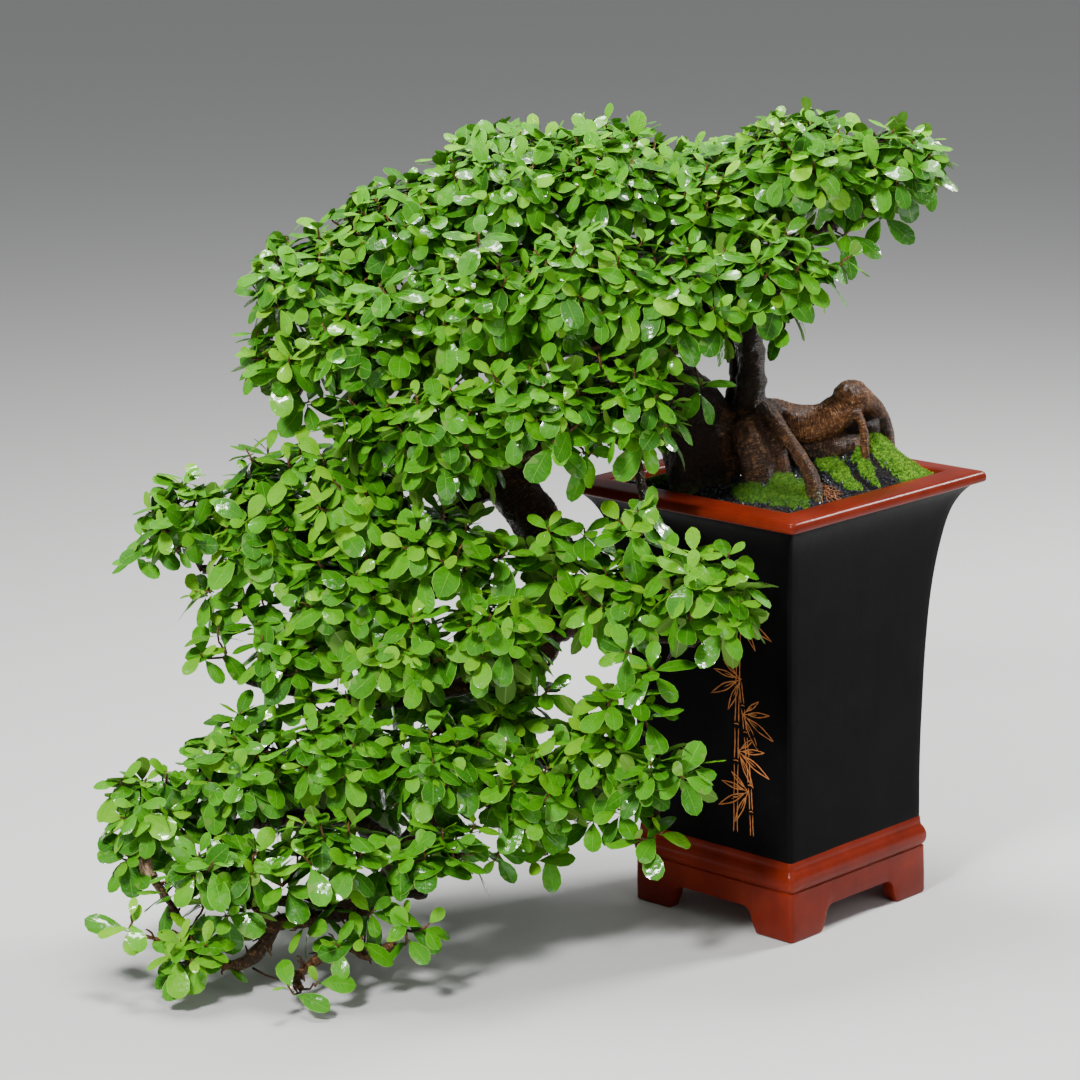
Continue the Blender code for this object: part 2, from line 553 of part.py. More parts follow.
def soil_block():
    """Points and faces of the soil without its holes: the pot's hollow below and a domed grid on top."""
    cells = SOIL_CELLS
    walls = [(FLOOR_TOP + GAP, INNER_FLOOR_HALF), *reversed(INNER_WALL)]
    points = [p for height, half in walls for p in square_edge(half - 2 * GAP, height, 1)]
    faces = [(0, 3, 2, 1)]
    for row in range(len(walls) - 1):
        for i in range(4):
            a, b = row * 4 + i, row * 4 + (i + 1) % 4
            faces.append((a, b, b + 4, a + 4))
    start = len(points)
    top_half = inner_half(SOIL_EDGE) - 2 * GAP
    points += square_edge(top_half, SOIL_EDGE, cells)
    grid = {}
    for quarter in range(4):
        corner, following = start - 4 + quarter, start - 4 + (quarter + 1) % 4
        first = start + quarter * cells
        for i in range(cells):
            here, there = first + i, start + (quarter * cells + i + 1) % (4 * cells)
            faces.append((here, there, corner if i < cells / 2 else following))
            cell = ((cells, i), (cells - i, cells), (0, cells - i), (i, 0))[quarter]
            grid[cell] = here
        faces.append((corner, following, first + cells // 2))
    turn = Matrix.Rotation(math.radians(45), 3, "Z")
    for row in range(1, cells):
        for column in range(1, cells):
            spot = turn @ Vector(((2 * row / cells - 1) * top_half, (2 * column / cells - 1) * top_half, 0))
            grid[row, column] = len(points)
            points.append(Vector((spot.x, spot.y, soil_height(spot.x, spot.y))))
    for row in range(cells):
        for column in range(cells):
            cell = ((row, column), (row + 1, column), (row + 1, column + 1), (row, column + 1))
            faces.append(tuple(grid[spot] for spot in cell))
    return points, faces


def build_soil():
    """A block that fills the pot, with a hole for the grown-together roots and a seat for the drain mesh."""
    soil = mesh_object("soil", *cut_quads(*soil_block()))
    hole, others = trunk_and_roots(ROOT_CLEARANCE)
    boolean(hole, others, "UNION", "MANIFOLD")
    seat_half, seat_top = MESH_HALF + 2 * GAP, FLOOR_TOP + MESH_THICK + 3 * GAP
    seat = mesh_object("mesh_seat", *loft([square_ring(seat_half, FLOOR_TOP - 0.01, MESH_CORNER),
                                           square_ring(seat_half, seat_top, MESH_CORNER)]))
    boolean(soil, [hole, seat], "DIFFERENCE", "EXACT")
    return soil


# Foliage


def frame_on(axis, turn):
    """Two unit directions square to the axis, turned about it."""
    side = axis.orthogonal().normalized()
    side = Matrix.Rotation(turn, 3, axis) @ side
    return side, axis.cross(side)


def add_blade(points, faces, quad, ahead, above, length, width):
    """Grow one blade out of a hub face: arched, folded along its rib, widest past the middle."""
    start = sum((points[i] for i in quad), Vector()) / 4
    across = ahead.cross(above)

    def middle(along):
        return start + ahead * (length * along) - above * (BLADE_ARCH * length * along * along)

    crest = len(points)
    points.append(middle(BLADE_MIDDLE) - above * BLADE_RIB)
    left, right = [], []
    for along, share in BLADE_SHOULDERS:
        half = 0.5 * width * share
        rise = above * (half * BLADE_FOLD)
        left.append(len(points))
        right.append(len(points) + 1)
        points += [middle(along) - across * half + rise, middle(along) + across * half + rise]
    tip = len(points)
    points.append(middle(1.0))
    low_right, low_left, high_left, high_right = quad
    outline = [low_left, *left, tip, *reversed(right), low_right]
    for here, there in zip(outline, outline[1:] + outline[:1]):
        faces.append((crest, there, here))
    faces.append((high_left, left[0], right[0]))
    faces.append((high_left, right[0], high_right))
    faces.append((left[0], left[1], right[1]))
    faces.append((left[0], right[1], right[0]))
    faces.append((left[1], tip, right[1]))
    faces.append((low_left, high_left, left[0]))
    faces.append((low_right, right[0], high_right))


def rosette(root, heart, axis, turn, scale, root_radius):
    """A shoot from root to heart with two whorls of blades and a bud, as points and faces."""
    points, faces = [], []
    side, other = frame_on(axis, turn)

    def ring(centre, radius, spin, swing=None):
        first = len(points)
        for k in range(3):
            angle = spin + k * math.tau / 3
            spoke = (side * math.cos(angle) + other * math.sin(angle)) * radius
            points.append(centre + (swing @ spoke if swing else spoke))
        return first

    def join(low, high):
        for k in range(3):
            a, b = low + k, low + (k + 1) % 3
            faces.append((a, b, b + high - low))
            faces.append((a, b + high - low, a + high - low))

    def whorl(low, high, spin, lean, share):
        for k in range(3):
            quad = (low + k, low + (k + 1) % 3, high + (k + 1) % 3, high + k)
            angle = spin + (k + 0.5) * math.tau / 3
            outward = side * math.cos(angle) + other * math.sin(angle)
            ahead = axis * math.cos(lean) + outward * math.sin(lean)
            above = axis * math.sin(lean) - outward * math.cos(lean)
            size = scale * share * rng.uniform(0.9, 1.06)
            add_blade(points, faces, quad, ahead, above, BLADE_LENGTH * size, BLADE_WIDTH * size)

    foot = ring(root, root_radius, 0, axis.rotation_difference(heart - root).to_matrix())
    rings = [ring(heart + axis * (HUB_HEIGHT * step), TWIG_RADIUS * 0.9, spin)
             for step, spin in ((0, 0), (1, 0), (2, math.pi / 3), (3, math.pi / 3))]
    faces.append((foot, foot + 2, foot + 1))
    join(foot, rings[0])
    whorl(rings[0], rings[1], 0, LOWER_WHORL, 1.0)
    low, high = rings[1], rings[2]
    for k in range(3):
        faces.append((low + k, low + (k + 1) % 3, high + k))
        faces.append((low + (k + 1) % 3, high + (k + 1) % 3, high + k))
    whorl(rings[2], rings[3], math.pi / 3, UPPER_WHORL, UPPER_BLADE_SHARE)
    bud = len(points)
    points.append(heart + axis * (HUB_HEIGHT * 3 + BUD_LENGTH))
    for k in range(3):
        faces.append((rings[3] + k, rings[3] + (k + 1) % 3, bud))
    return points, faces


def inside(pad, spot, inset):
    x, y, z, rx, ry, rz = pad
    return ((spot.x - x) / (rx - inset)) ** 2 + ((spot.y - y) / (ry - inset)) ** 2 + (
        (spot.z - z) / (rz - inset)) ** 2 < 1


def places_on(pad, inset, count):
    """Spots spread evenly over a pad's inset outline, with the outward directions there."""
    x, y, z, rx, ry, rz = pad
    made = []
    start = rng.uniform(0, math.tau)
    for i in range(count):
        level = 1 - 2 * (i + 0.5) / count
        around = start + i * math.pi * (3 - math.sqrt(5))
        flat = math.sqrt(1 - level * level)
        unit = Vector((flat * math.cos(around), flat * math.sin(around), level))
        spot = Vector((x + unit.x * (rx - inset), y + unit.y * (ry - inset), z + unit.z * (rz - inset)))
        out = Vector((unit.x / rx, unit.y / ry, unit.z / rz)).normalized()
        made.append((spot, out))
    return made


def open_places(name):
    """The rosette places of one pad that face outward, clear of its neighbours and not underneath."""
    pad = PADS[name]
    inset = min(SITE_INSET, SITE_INSET_SHARE * min(pad[3:]))
    larger = [other for key, other in PADS.items() if key != name and key not in SMALL_PADS]
    found = [(spot, out) for spot, out in places_on(pad, inset, SITES_PER_PAD)
             if out.z > SITE_LOWEST and not any(inside(other, spot, SITE_CLEAR_INSET) for other in larger)]
    return found or [places_on(pad, inset, SITES_PER_PAD)[0]]


def choose_sites(every):
    """Rosette places over all pads together: one on each pad, then as many as the spacing allows."""
    chosen = {name: [] for name in PADS}

    def room(spot):
        return min([(spot - other).length for group in chosen.values() for other, _ in group], default=1.0)

    for name in sorted(PADS, key=lambda name: name not in SMALL_PADS):
        chosen[name].append(max(every[name], key=lambda place: room(place[0])))
    rest = [(name, place) for name in PADS for place in every[name]]
    rng.shuffle(rest)
    for name, place in rest:
        if room(place[0]) > SITE_SPACING * rosette_share(name):
            chosen[name].append(place)
    return chosen


def rosette_share(name):
    """Size of a pad's rosettes, as a share of full size."""
    return max(SMALLEST_SHARE, min(1.0, sum(PADS[name][3:]) / 3 / FULL_SIZE_PAD))


def nearest_wood(target):
    """The spot nearest to the target on the middle line of a branch or of the trunk above the pot."""
    best = None
    for route in [TRUNK[3:], *BRANCHES.values()]:
        for a, b in zip(route, route[1:]):
            start, end = Vector(a[:3]), Vector(b[:3])
            t = max(0.0, min(1.0, (target - start).dot(end - start) / (end - start).length_squared))
            spot = start.lerp(end, t)
            if best is None or (spot - target).length < (best - target).length:
                best = spot
    return best


def stem_foot(start, heart, wood_tree):
    """Where a stem from start to a rosette's heart begins, just off the surface of the wood."""
    ahead = (heart - start).normalized()
    away = STEM_SEARCH
    while away < (heart - start).length - 2 * STEM_RADIUS:
        foot = start + ahead * away
        stem = tube([(*foot, STEM_RADIUS * 1.15), (*heart, STEM_RADIUS * 1.15)], 3, 1)
        off = min(wood_tree.find_nearest(corner)[3] for corner in stem[0][:3])
        if off >= GAP and not tree_of(*stem).overlap(wood_tree):
            return foot
        away += STEM_SEARCH
    return None


def blades_only(shape):
    """The rosette without the foot of its shoot, which runs into its pad's stem."""
    points, faces = shape
    return points, [face for face in faces if min(face) > 2]


def random_vector(lowest):
    return Vector((rng.uniform(-1, 1), rng.uniform(-1, 1), rng.uniform(lowest, 1)))


def grow_one(spot, out, share, fork, wood_tree, obstacles, own):
    """One rosette on its shoot, turned and tilted until it crosses nothing, or None."""
    for attempt in range(PLACING_TRIES):
        size = share * rng.uniform(0.94, 1.05) * (1 - SHRINK_STEP * attempt)
        sway = random_vector(-1) * (SWAY + SWAY_STEP * attempt)
        axis = (out * OUT_PULL + Vector((0, 0, UP_PULL)) + sway).normalized()
        turn = rng.uniform(0, math.tau)
        heart = spot + random_vector(-0.5) * (SHIFT_STEP * attempt)
        root, radius = fork, TWIG_RADIUS
        if fork is None:
            root, radius = stem_foot(nearest_wood(heart), heart, wood_tree), STEM_RADIUS
            if root is None or (heart - root).length > STEM_LONGEST:
                continue
        shape = rosette(root, heart, axis, turn, size, radius)
        if min(p.z for p in shape[0]) < LOWEST_LEAF:
            continue
        tree, blades = tree_of(*shape), tree_of(*blades_only(shape))
        if any(tree.overlap(other) for other in obstacles) or any(blades.overlap(other) for other in own):
            continue
        return shape, tree
    return None


def grow_rosettes(wood_tree, solid_trees):
    """Every pad's rosettes: the first straight from the wood, the others from a fork on its stem."""
    every = {name: open_places(name) for name in PADS}
    chosen = choose_sites(every)
    grown = {name: [] for name in PADS}
    trees = {name: [] for name in PADS}
    for name in PADS:
        fork = None
        for i, (spot, out) in enumerate(chosen[name] + every[name]):
            if i >= len(chosen[name]) and grown[name]:
                break
            obstacles = [wood_tree, *solid_trees]
            obstacles += [tree for key, group in trees.items() if key != name for tree in group]
            made = grow_one(spot, out, rosette_share(name), fork, wood_tree, obstacles, trees[name])
            if made is None:
                continue
            shape, tree = made
            trees[name].append(tree)
            grown[name].append(shape)
            if fork is None:
                foot, heart = sum(shape[0][:3], Vector()) / 3, sum(shape[0][3:6], Vector()) / 3
                fork = foot.lerp(heart, FORK_SHARE)
    return grown


def build_sprays(wood_tree, solid_trees, leaf, carrier):
    """One leafy spray for each pad."""
    for name, shapes in grow_rosettes(wood_tree, solid_trees).items():
        spray = mesh_object("spray_" + name, *shapes[0])
        if len(shapes) > 1:
            boolean(spray, [mesh_object("shoot", *shape) for shape in shapes[1:]], "UNION", "MANIFOLD")
        finish(spray, leaf, carrier, 25)


def main():
    clear_scene()
    glaze = material("glazed_clay", (0.045, 0.040, 0.038), 0.35)
    earth = material("soil_and_moss", (0.10, 0.16, 0.04), 0.9)
    steel = material("mesh_plastic", (0.05, 0.06, 0.05), 0.6)
    bark = material("bark", (0.13, 0.08, 0.05), 0.7)
    leaf = material("banyan_leaf", (0.07, 0.24, 0.03), 0.35)
    carrier = bpy.data.objects.new("bonsai", None)
    carrier.location = (POT_X, POT_Y, 0)
    bpy.context.scene.collection.objects.link(carrier)
    pot = build_pot()
    soil = build_soil()
    drain = build_drain_mesh()
    wood = build_wood()
    trees = [tree_of_object(pot), tree_of_object(soil)]
    build_sprays(tree_of_object(wood), trees, leaf, carrier)
    finish(pot, glaze, carrier)
    finish(soil, earth, carrier)
    finish(drain, steel, carrier)
    finish(wood, bark, carrier, 60)


main()
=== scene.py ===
"""Looks of the cascading banyan bonsai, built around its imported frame.

Metres, +Z up, front at -Y. The points of the wood and of the leaf pads are those of the part's own
source, in the pot's frame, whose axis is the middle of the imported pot. The tables given to in_metres
are written in millimetres.
"""

import math
import random

import bpy
import numpy as np
from mathutils import Matrix, Vector, noise
from mathutils.kdtree import KDTree


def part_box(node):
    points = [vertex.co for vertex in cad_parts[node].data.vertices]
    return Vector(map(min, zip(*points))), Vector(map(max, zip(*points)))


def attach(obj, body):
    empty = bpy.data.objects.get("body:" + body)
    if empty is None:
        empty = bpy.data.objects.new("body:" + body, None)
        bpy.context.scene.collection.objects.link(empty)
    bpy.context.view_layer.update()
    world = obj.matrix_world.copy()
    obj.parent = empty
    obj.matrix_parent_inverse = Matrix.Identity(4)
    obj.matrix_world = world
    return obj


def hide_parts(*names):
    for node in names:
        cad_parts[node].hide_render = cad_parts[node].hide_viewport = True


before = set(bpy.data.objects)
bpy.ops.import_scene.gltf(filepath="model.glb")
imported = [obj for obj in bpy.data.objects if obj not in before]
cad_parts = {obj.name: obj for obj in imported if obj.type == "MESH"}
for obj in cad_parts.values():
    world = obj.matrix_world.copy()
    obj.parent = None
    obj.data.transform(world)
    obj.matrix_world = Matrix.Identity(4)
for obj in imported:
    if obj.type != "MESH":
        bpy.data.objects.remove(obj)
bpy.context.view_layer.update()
POT_LOW, POT_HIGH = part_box("pot")
AXIS = Vector(((POT_LOW.x + POT_HIGH.x) / 2, (POT_LOW.y + POT_HIGH.y) / 2, 0))
TURN_45 = Matrix.Rotation(math.radians(45), 3, "Z")

rng = random.Random(20)
dice = np.random.default_rng(20)


def in_metres(table):
    """A table of millimetres, nested as it may be, in metres."""
    if isinstance(table, dict):
        return {name: in_metres(part) for name, part in table.items()}
    if isinstance(table, (list, tuple)):
        return [in_metres(part) for part in table]
    return table / 1000


# Pot, as heights and half sides of its square rings
POT_TOP = 0.4445
RIM_HALF = 0.150
BODY_HALF = 0.1022
FOOT_HALF = 0.106
SKIRT_WALL = 0.014
FLOOR_UNDER = 0.032
FLOOR_TOP = 0.047
DRAIN_RADIUS = 0.016
ARCH_HEIGHT = 0.027
ARCH_HALF_LOW = 0.060
ARCH_HALF_HIGH = 0.053
ARCH_ROUND = 0.012
FLARE = ((0.0822, 0.1022), (0.141, 0.1025), (0.200, 0.1040), (0.256, 0.1063), (0.310, 0.1096),
         (0.350, 0.1138), (0.380, 0.1186), (0.403, 0.1242), (0.418, 0.1308), (0.427, 0.1375),
         (0.4315, 0.1425))
INNER_WALL = ((0.425, 0.1125), (0.400, 0.1075), (0.365, 0.1030), (0.300, 0.0985), (0.200, 0.0935))
# Rings as height, half side and corner: the half side is counted from the foot's or the body's where named so
RIM_RINGS = in_metres([
    (431.8, 141.5, 4), (431.7, 145.5, 4), (431.9, 148, 4.5), (432.6, 149.3, 5), (433.8, 149.9, 5),
    (436, 149.9, 5), (438, 149.8, 5), (439.8, 149.3, 5), (441.2, 148.4, 5), (442.1, 147.1, 4.5),
    (442.6, 145.2, 4), (442.9, 142.5, 4), (443.3, 137, 3.5), (443.7, 131, 3), (444, 125, 2.5),
    (444, 121.2, 2), (443.5, 119, 2), (442.2, 117.6, 1.5), (439.5, 116.8, 1.5), (430, 114.1, 1.5),
    (418, 111.2, 1.5), (418, 115, 2), (431.8, 125, 3)
])
FROM_FOOT = in_metres([
    (0, -2.2, 4), (0.8, -0.7, 4.5), (2.4, 0, 5), (22, 0, 5), (44, -0.3, 5), (50.5, -0.4, 5),
    (51.5, -1.8, 5), (52.5, -1.8, 5), (53.3, -0.2, 5), (55.6, 1.2, 5.5), (60, 2, 5.5), (64.5, 1.8, 5.5),
    (69, 0.4, 5.5), (71.5, -1.2, 5), (73, -2.2, 5)
])
FROM_BODY = in_metres([(76, 1, 4.5), (81.5, 0.4, 4), (82.8, -0.4, 4)])

# Soil
SOIL_EDGE = 0.436
SOIL_EDGE_HALF = 0.1154
SOIL_EDGE_POWER = 8
SOIL_LOW = 0.402
SOIL_MOUNDS = ((0.005, 0.005, 0.075, 0.030), (0.098, 0.002, 0.040, 0.038), (-0.005, -0.080, 0.036, 0.006))
GRAIN_COUNT = 2900
MOSS_SHOOT_COUNT = 16000
ROOTLET_COUNT = 24
ROOTLET_LIMIT = 0.1125
# Moss as ovals: centre x and y, half length, half width, turn in degrees and weight
MOSS_OVALS = (
    (0.119, -0.006, 0.043, 0.027, -12, 1.6), (0.146, 0.004, 0.018, 0.012, 10, 1.1),
    (0.086, -0.039, 0.021, 0.0085, -55, 1.2), (0.052, -0.033, 0.034, 0.013, -55, 1.2),
    (0.068, -0.060, 0.016, 0.008, -42, 1.1), (0.006, -0.093, 0.039, 0.023, -85, 1.35),
    (-0.033, -0.084, 0.036, 0.015, -60, 1.0), (-0.020, 0.060, 0.034, 0.034, 0, 1.1),
    (0.052, 0.070, 0.028, 0.022, -40, 1.1), (-0.075, 0.055, 0.030, 0.026, 45, 1.0),
    (0.008, 0.112, 0.028, 0.020, 0, 1.0), (-0.120, 0.008, 0.024, 0.020, 0, 0.9),
)

# Trunk, roots and branches: points along the middle of each, as x, y, z and radius
TRUNK = in_metres([
    (-61, 0, 414, 46), (-71, -5, 467, 43), (-96, -10, 520, 38), (-144, -10, 548, 33),
    (-201, -15, 536, 29), (-248, -20, 505, 27), (-270, -30, 462, 26), (-247, -42, 419, 25),
    (-225, -52, 375, 23), (-233, -62, 320, 21), (-258, -80, 266, 19), (-298, -100, 212, 17),
    (-342, -130, 155, 15), (-384, -160, 100, 13), (-412, -180, 68, 11)
])
ROOTS = in_metres({
    "log": [(-55, -5, 482, 26), (-12, -8, 501, 22), (20, -10, 498, 20), (43, -10, 499, 19.5),
        (62, -6, 508, 18), (78, 1, 518, 15.5), (93, 12, 512, 11), (105, 20, 496, 9.5), (112, 22, 472, 9),
        (115, 22, 425, 10)],
    "log_prop": [(79, -12, 510, 5), (85, -22, 490, 4.5), (88, -26, 440, 5)],
    "clump": [(18, -10, 466, 13), (48, -8, 471, 16), (76, -2, 470, 15), (97, 6, 452, 11)],
    "prop_front": [(-16, -28, 521, 9), (10, -60, 489, 7), (28, -90, 459, 7.5), (30, -100, 424, 11)],
    "prop_mid": [(-22, -25, 512, 8), (-1, -48, 482, 7), (8, -60, 420, 9)],
    "stub_root": [(-30, -25, 501, 19), (-22, -48, 475, 18), (-15, -56, 415, 15)],
    "knuckle": [(66, -4, 517, 15), (74, -2, 522.5, 16.5), (83, 3, 521, 14.5)],
    "root_mass": [(56, 14, 484, 12), (84, 12, 486, 15), (102, 14, 486, 13)],
    "left_root": [(-83, -20, 486, 24), (-92, -36, 454, 18), (-94, -40, 410, 14)],
})
BRANCHES = in_metres({
    "leader": [(-33, -10, 498, 17), (-24, -12, 554, 14), (-29, -5, 613, 12), (-42, 10, 659, 11)],
    "leader_twin": [(-50, 8, 500, 9), (-38, 14, 547, 7), (-44, 22, 588, 6), (-43, 16, 629, 5)],
    "right_limb": [(-37, 5, 631, 10), (11, 12, 672, 8), (68, 12, 698, 6), (105, 10, 712, 4)],
    "ridge_limb": [(-41, 10, 653, 11), (-93, 25, 664, 10), (-172, 32, 676, 9), (-266, 25, 667, 8),
        (-360, 15, 634, 7), (-435, 0, 596, 5)],
    "crown_drop": [(-420, 3, 603, 5), (-460, -18, 566, 4), (-480, -30, 536, 3.5)],
    "front_limb": [(-136, -10, 548, 17), (-148, -55, 590, 14), (-190, -78, 604, 11), (-293, -78, 583, 8),
        (-378, -72, 566, 5.5), (-408, -84, 588, 4)],
    "front_right": [(-148, -55, 592, 9), (-88, -68, 592, 7), (-20, -58, 612, 4.5)],
    "back_limb": [(-125, 5, 538, 14), (-128, 75, 545, 11), (-160, 102, 560, 9), (-275, 105, 546, 5)],
    "back_right": [(-130, 80, 549, 8), (-81, 98, 562, 6), (-27, 98, 582, 4.5)],
    "fringe_limb": [(-186, -20, 539, 12), (-192, -85, 520, 9), (-237, -112, 501, 6.5),
        (-312, -106, 476, 4.5)],
    "fringe_right": [(-190, -78, 524, 7), (-150, -108, 497, 5.5), (-140, -140, 468, 4.5),
        (-138, -158, 446, 4)],
    "tier2_limb": [(-265, -28, 470, 15), (-332, -42, 420, 12), (-417, -50, 392, 10),
        (-507, -46, 374, 7.5), (-575, -52, 374, 4.5)],
    "tier2_front": [(-377, -46, 406, 7), (-400, -74, 360, 5.5), (-420, -86, 322, 4)],
    "tier2_inner": [(-307, -36, 440, 8), (-326, -76, 390, 6), (-333, -94, 358, 4.5)],
    "tier2_rear": [(-357, -46, 410, 7), (-405, 0, 340, 5), (-424, 10, 320, 4)],
    "mid_limb": [(-250, -74, 285, 11), (-290, -114, 276, 9), (-372, -118, 252, 7), (-470, -96, 254, 5.5),
        (-545, -94, 275, 3.5)],
    "mid_rear": [(-262, -82, 258, 8), (-304, -30, 208, 6), (-345, -5, 190, 4.5)],
    "upper_pad": [(-236, -62, 303, 12), (-188, -106, 318, 9), (-92, -168, 318, 4.5)],
    "lower_pad": [(-286, -96, 226, 10), (-213, -136, 172, 7), (-135, -176, 146, 4.5)],
    "tier3_inner": [(-318, -114, 186, 8), (-280, -146, 131, 5.5), (-258, -162, 112, 4)],
    "tier3_limb": [(-379, -155, 104, 11), (-437, -146, 142, 9), (-533, -138, 137, 7),
        (-606, -142, 124, 5.5)],
    "tier3_up": [(-340, -130, 156, 8), (-343, -150, 162, 5)],
    "tier3_front": [(-412, -178, 73, 9), (-456, -208, 78, 7), (-540, -206, 82, 4.5)],
    "tier3_right": [(-404, -172, 78, 7), (-359, -204, 81, 4.5)],
    "tier3_rear": [(-373, -148, 110, 8), (-430, -65, 88, 5), (-452, -48, 84, 4.5)],
    "low_tail": [(-412, -180, 68, 10.5), (-460, -204, 61, 9), (-502, -222, 62, 8), (-517, -235, 43, 7),
        (-540, -245, 29, 5.5), (-578, -250, 38, 3.5)],
    "tail_spur": [(-504, -223, 61, 5), (-530, -224, 86, 4.5), (-555, -216, 104, 4)],
    "tail_right": [(-412, -180, 68, 8), (-434, -216, 46, 6.5), (-417, -244, 36, 5.5), (-388, -258, 50, 4)],
    "tail_front": [(-431, -222, 43, 5), (-463, -248, 33, 5), (-482, -272, 26, 4), (-477, -286, 18, 3)],
    "cut_stub": [(-600, -142, 126, 5.5), (-632, -164, 112, 6.5), (-626, -178, 96, 7.5)],
    "tip_drop": [(-626, -177, 97, 4.5), (-612, -198, 84, 3.5), (-593, -225, 66, 3.2), (-580, -242, 46, 3)],
    "tip_twig": [(-589, -232, 57, 3), (-612, -237, 54, 2.5), (-630, -238, 58, 2)],
})

# Tone of each limb's bark, and of some at places counted in points of their route. The darkest tones, at the
# trunk's base, on the left root and on the leader and its twin, are painted shade under the crown.
LIMB_TONES_AND_SHADE = {
    "log_prop": 0.66, "clump": 0.26, "root_mass": 0.12, "knuckle": 0.90, "prop_front": 0.36, "prop_mid": 0.30,
    "stub_root": 0.34, "left_root": 0.04, "leader": 0.04, "leader_twin": 0.06, "tip_twig": 0.85,
    "tail_spur": 0.50, "tail_front": 0.55, "tail_right": 0.50, "low_tail": 0.42,
}
LIMB_TONES_AND_SHADE_ALONG = {
    "trunk": ((0, 2, 4, 7, 14), (0.03, 0.06, 0.26, 0.36, 0.30)),
    "cut_stub": ((0, 0.70, 2), (0.60, 1.12, 1.25)),
    "log": ((0, 1, 2.5, 5, 6, 9), (0.30, 0.55, 0.90, 0.95, 0.50, 0.30)),
}
ROUTE_STEPS = 8
LIMB_STEP = 0.003
WOOD_VOXEL = 0.0023
# Leafless spurs on the lowest branches, and the thin twig that hangs between two of them
SPURS = {"low_tail": 30, "tail_front": 18, "tail_right": 16, "tip_drop": 14, "tail_spur": 12,
         "tier3_front": 8, "tier3_limb": 6, "tip_twig": 5}
SPUR_STEPS = 5
HANGING_TWIG = in_metres([(-527, -236, 22, 0), (-511, -243, 15.5, 0), (-494, -250, 14.5, 0),
                          (-469, -262, 26, 0)])

# Foliage pads: centre x, y, z and radii, which reach to the leaf tips
PADS = in_metres({
    "crown_tip": (118, 10, 752, 62, 66, 54), "crown_ridge_a": (27, 20, 753, 80, 96, 66),
    "crown_ridge_b": (-71, 40, 720, 84, 112, 68), "crown_ridge_c": (-165, 40, 741, 84, 120, 70),
    "crown_ridge_d": (-262, 30, 741, 86, 116, 70), "crown_ridge_e": (-361, 20, 699, 82, 102, 64),
    "crown_left": (-454, 0, 649, 80, 84, 64), "crown_left_low": (-485, -35, 583, 48, 56, 44),
    "crown_front_a": (-10, -75, 662, 72, 62, 62), "crown_front_b": (-101, -105, 636, 78, 62, 70),
    "crown_front_c": (-195, -115, 660, 78, 62, 70), "crown_front_d": (-296, -110, 640, 78, 62, 70),
    "crown_front_e": (-392, -90, 603, 78, 62, 64), "crown_fringe_a": (-149, -150, 540, 60, 58, 66),
    "crown_fringe_b": (-231, -165, 544, 68, 58, 68), "crown_fringe_c": (-326, -145, 524, 68, 58, 70),
    "crown_fringe_d": (-398, -112, 528, 52, 50, 48), "crown_back_a": (-17, 120, 632, 80, 64, 56),
    "crown_back_b": (-150, 135, 612, 86, 64, 60), "crown_back_c": (-284, 130, 596, 86, 64, 60),
    "rim_cluster": (-147, -172, 439, 40, 34, 38), "tier2_tip": (-592, -60, 427, 54, 56, 48),
    "tier2_a": (-512, -50, 416, 64, 78, 78), "tier2_b": (-420, -80, 450, 68, 70, 62),
    "tier2_c": (-430, -120, 367, 70, 56, 62), "tier2_d": (-338, -130, 406, 62, 54, 60),
    "tier2_back": (-422, 30, 359, 80, 58, 54), "knee_front": (-232, -120, 388, 48, 36, 42),
    "mid_left": (-478, -100, 303, 62, 60, 48), "mid_a": (-378, -150, 308, 66, 54, 56),
    "mid_b": (-282, -160, 331, 62, 50, 60), "mid_back": (-345, 20, 233, 76, 58, 52),
    "mid_sprig": (-564, -98, 303, 30, 28, 28), "pad_upper_a": (-165, -150, 361, 54, 42, 56),
    "pad_upper_b": (-77, -205, 366, 58, 44, 62), "pad_lower_a": (-190, -172, 213, 54, 42, 62),
    "pad_lower_b": (-122, -212, 195, 52, 40, 52), "pad_lower_tip": (-140, -200, 136, 26, 26, 26),
    "tier3_top": (-272, -124, 240, 48, 42, 44), "tier3_tip": (-625, -150, 159, 54, 58, 50),
    "tier3_a": (-536, -150, 193, 66, 76, 62), "tier3_b": (-439, -165, 215, 66, 72, 60),
    "tier3_c": (-341, -185, 208, 66, 62, 60), "tier3_d": (-258, -188, 177, 56, 52, 58),
    "tier3_e": (-549, -235, 127, 60, 52, 38), "tier3_f": (-447, -245, 138, 64, 50, 52),
    "tier3_g": (-352, -235, 132, 60, 50, 40), "tier3_back": (-459, -20, 121, 88, 58, 48),
    "tier3_right": (-245, -180, 112, 26, 26, 26), "low_tip": (-642, -240, 70, 28, 26, 24),
    "low_left": (-583, -276, 56, 40, 32, 30), "low_front": (-473, -308, 30, 34, 28, 24),
    "low_right": (-370, -272, 74, 36, 30, 32), "low_inner": (-430, -280, 62, 32, 28, 26),
})

# Foliage at true leaf size
SHOOT_SPACING = 0.0268  # between the hearts of neighbouring shoots
SHOOT_INSET = 0.0205  # of a shoot's heart inside its pad's outline
BURIED_INSET = 0.026  # how deep in a neighbouring pad a shoot would be hidden
INNER_SHARE = 0.58  # size of the inner shell of older shoots, as a share of its pad
INNER_SPACING = 0.0335
LEAF_LENGTH = 0.0430
LEAF_WIDTH = 0.0229
LEAF_THICK = 0.0006
LOWEST_LEAF = 0.0015
LOWEST_TWIG = 0.003
POT_MARGIN = 0.0012
GOLDEN_ANGLE = math.radians(137.5)
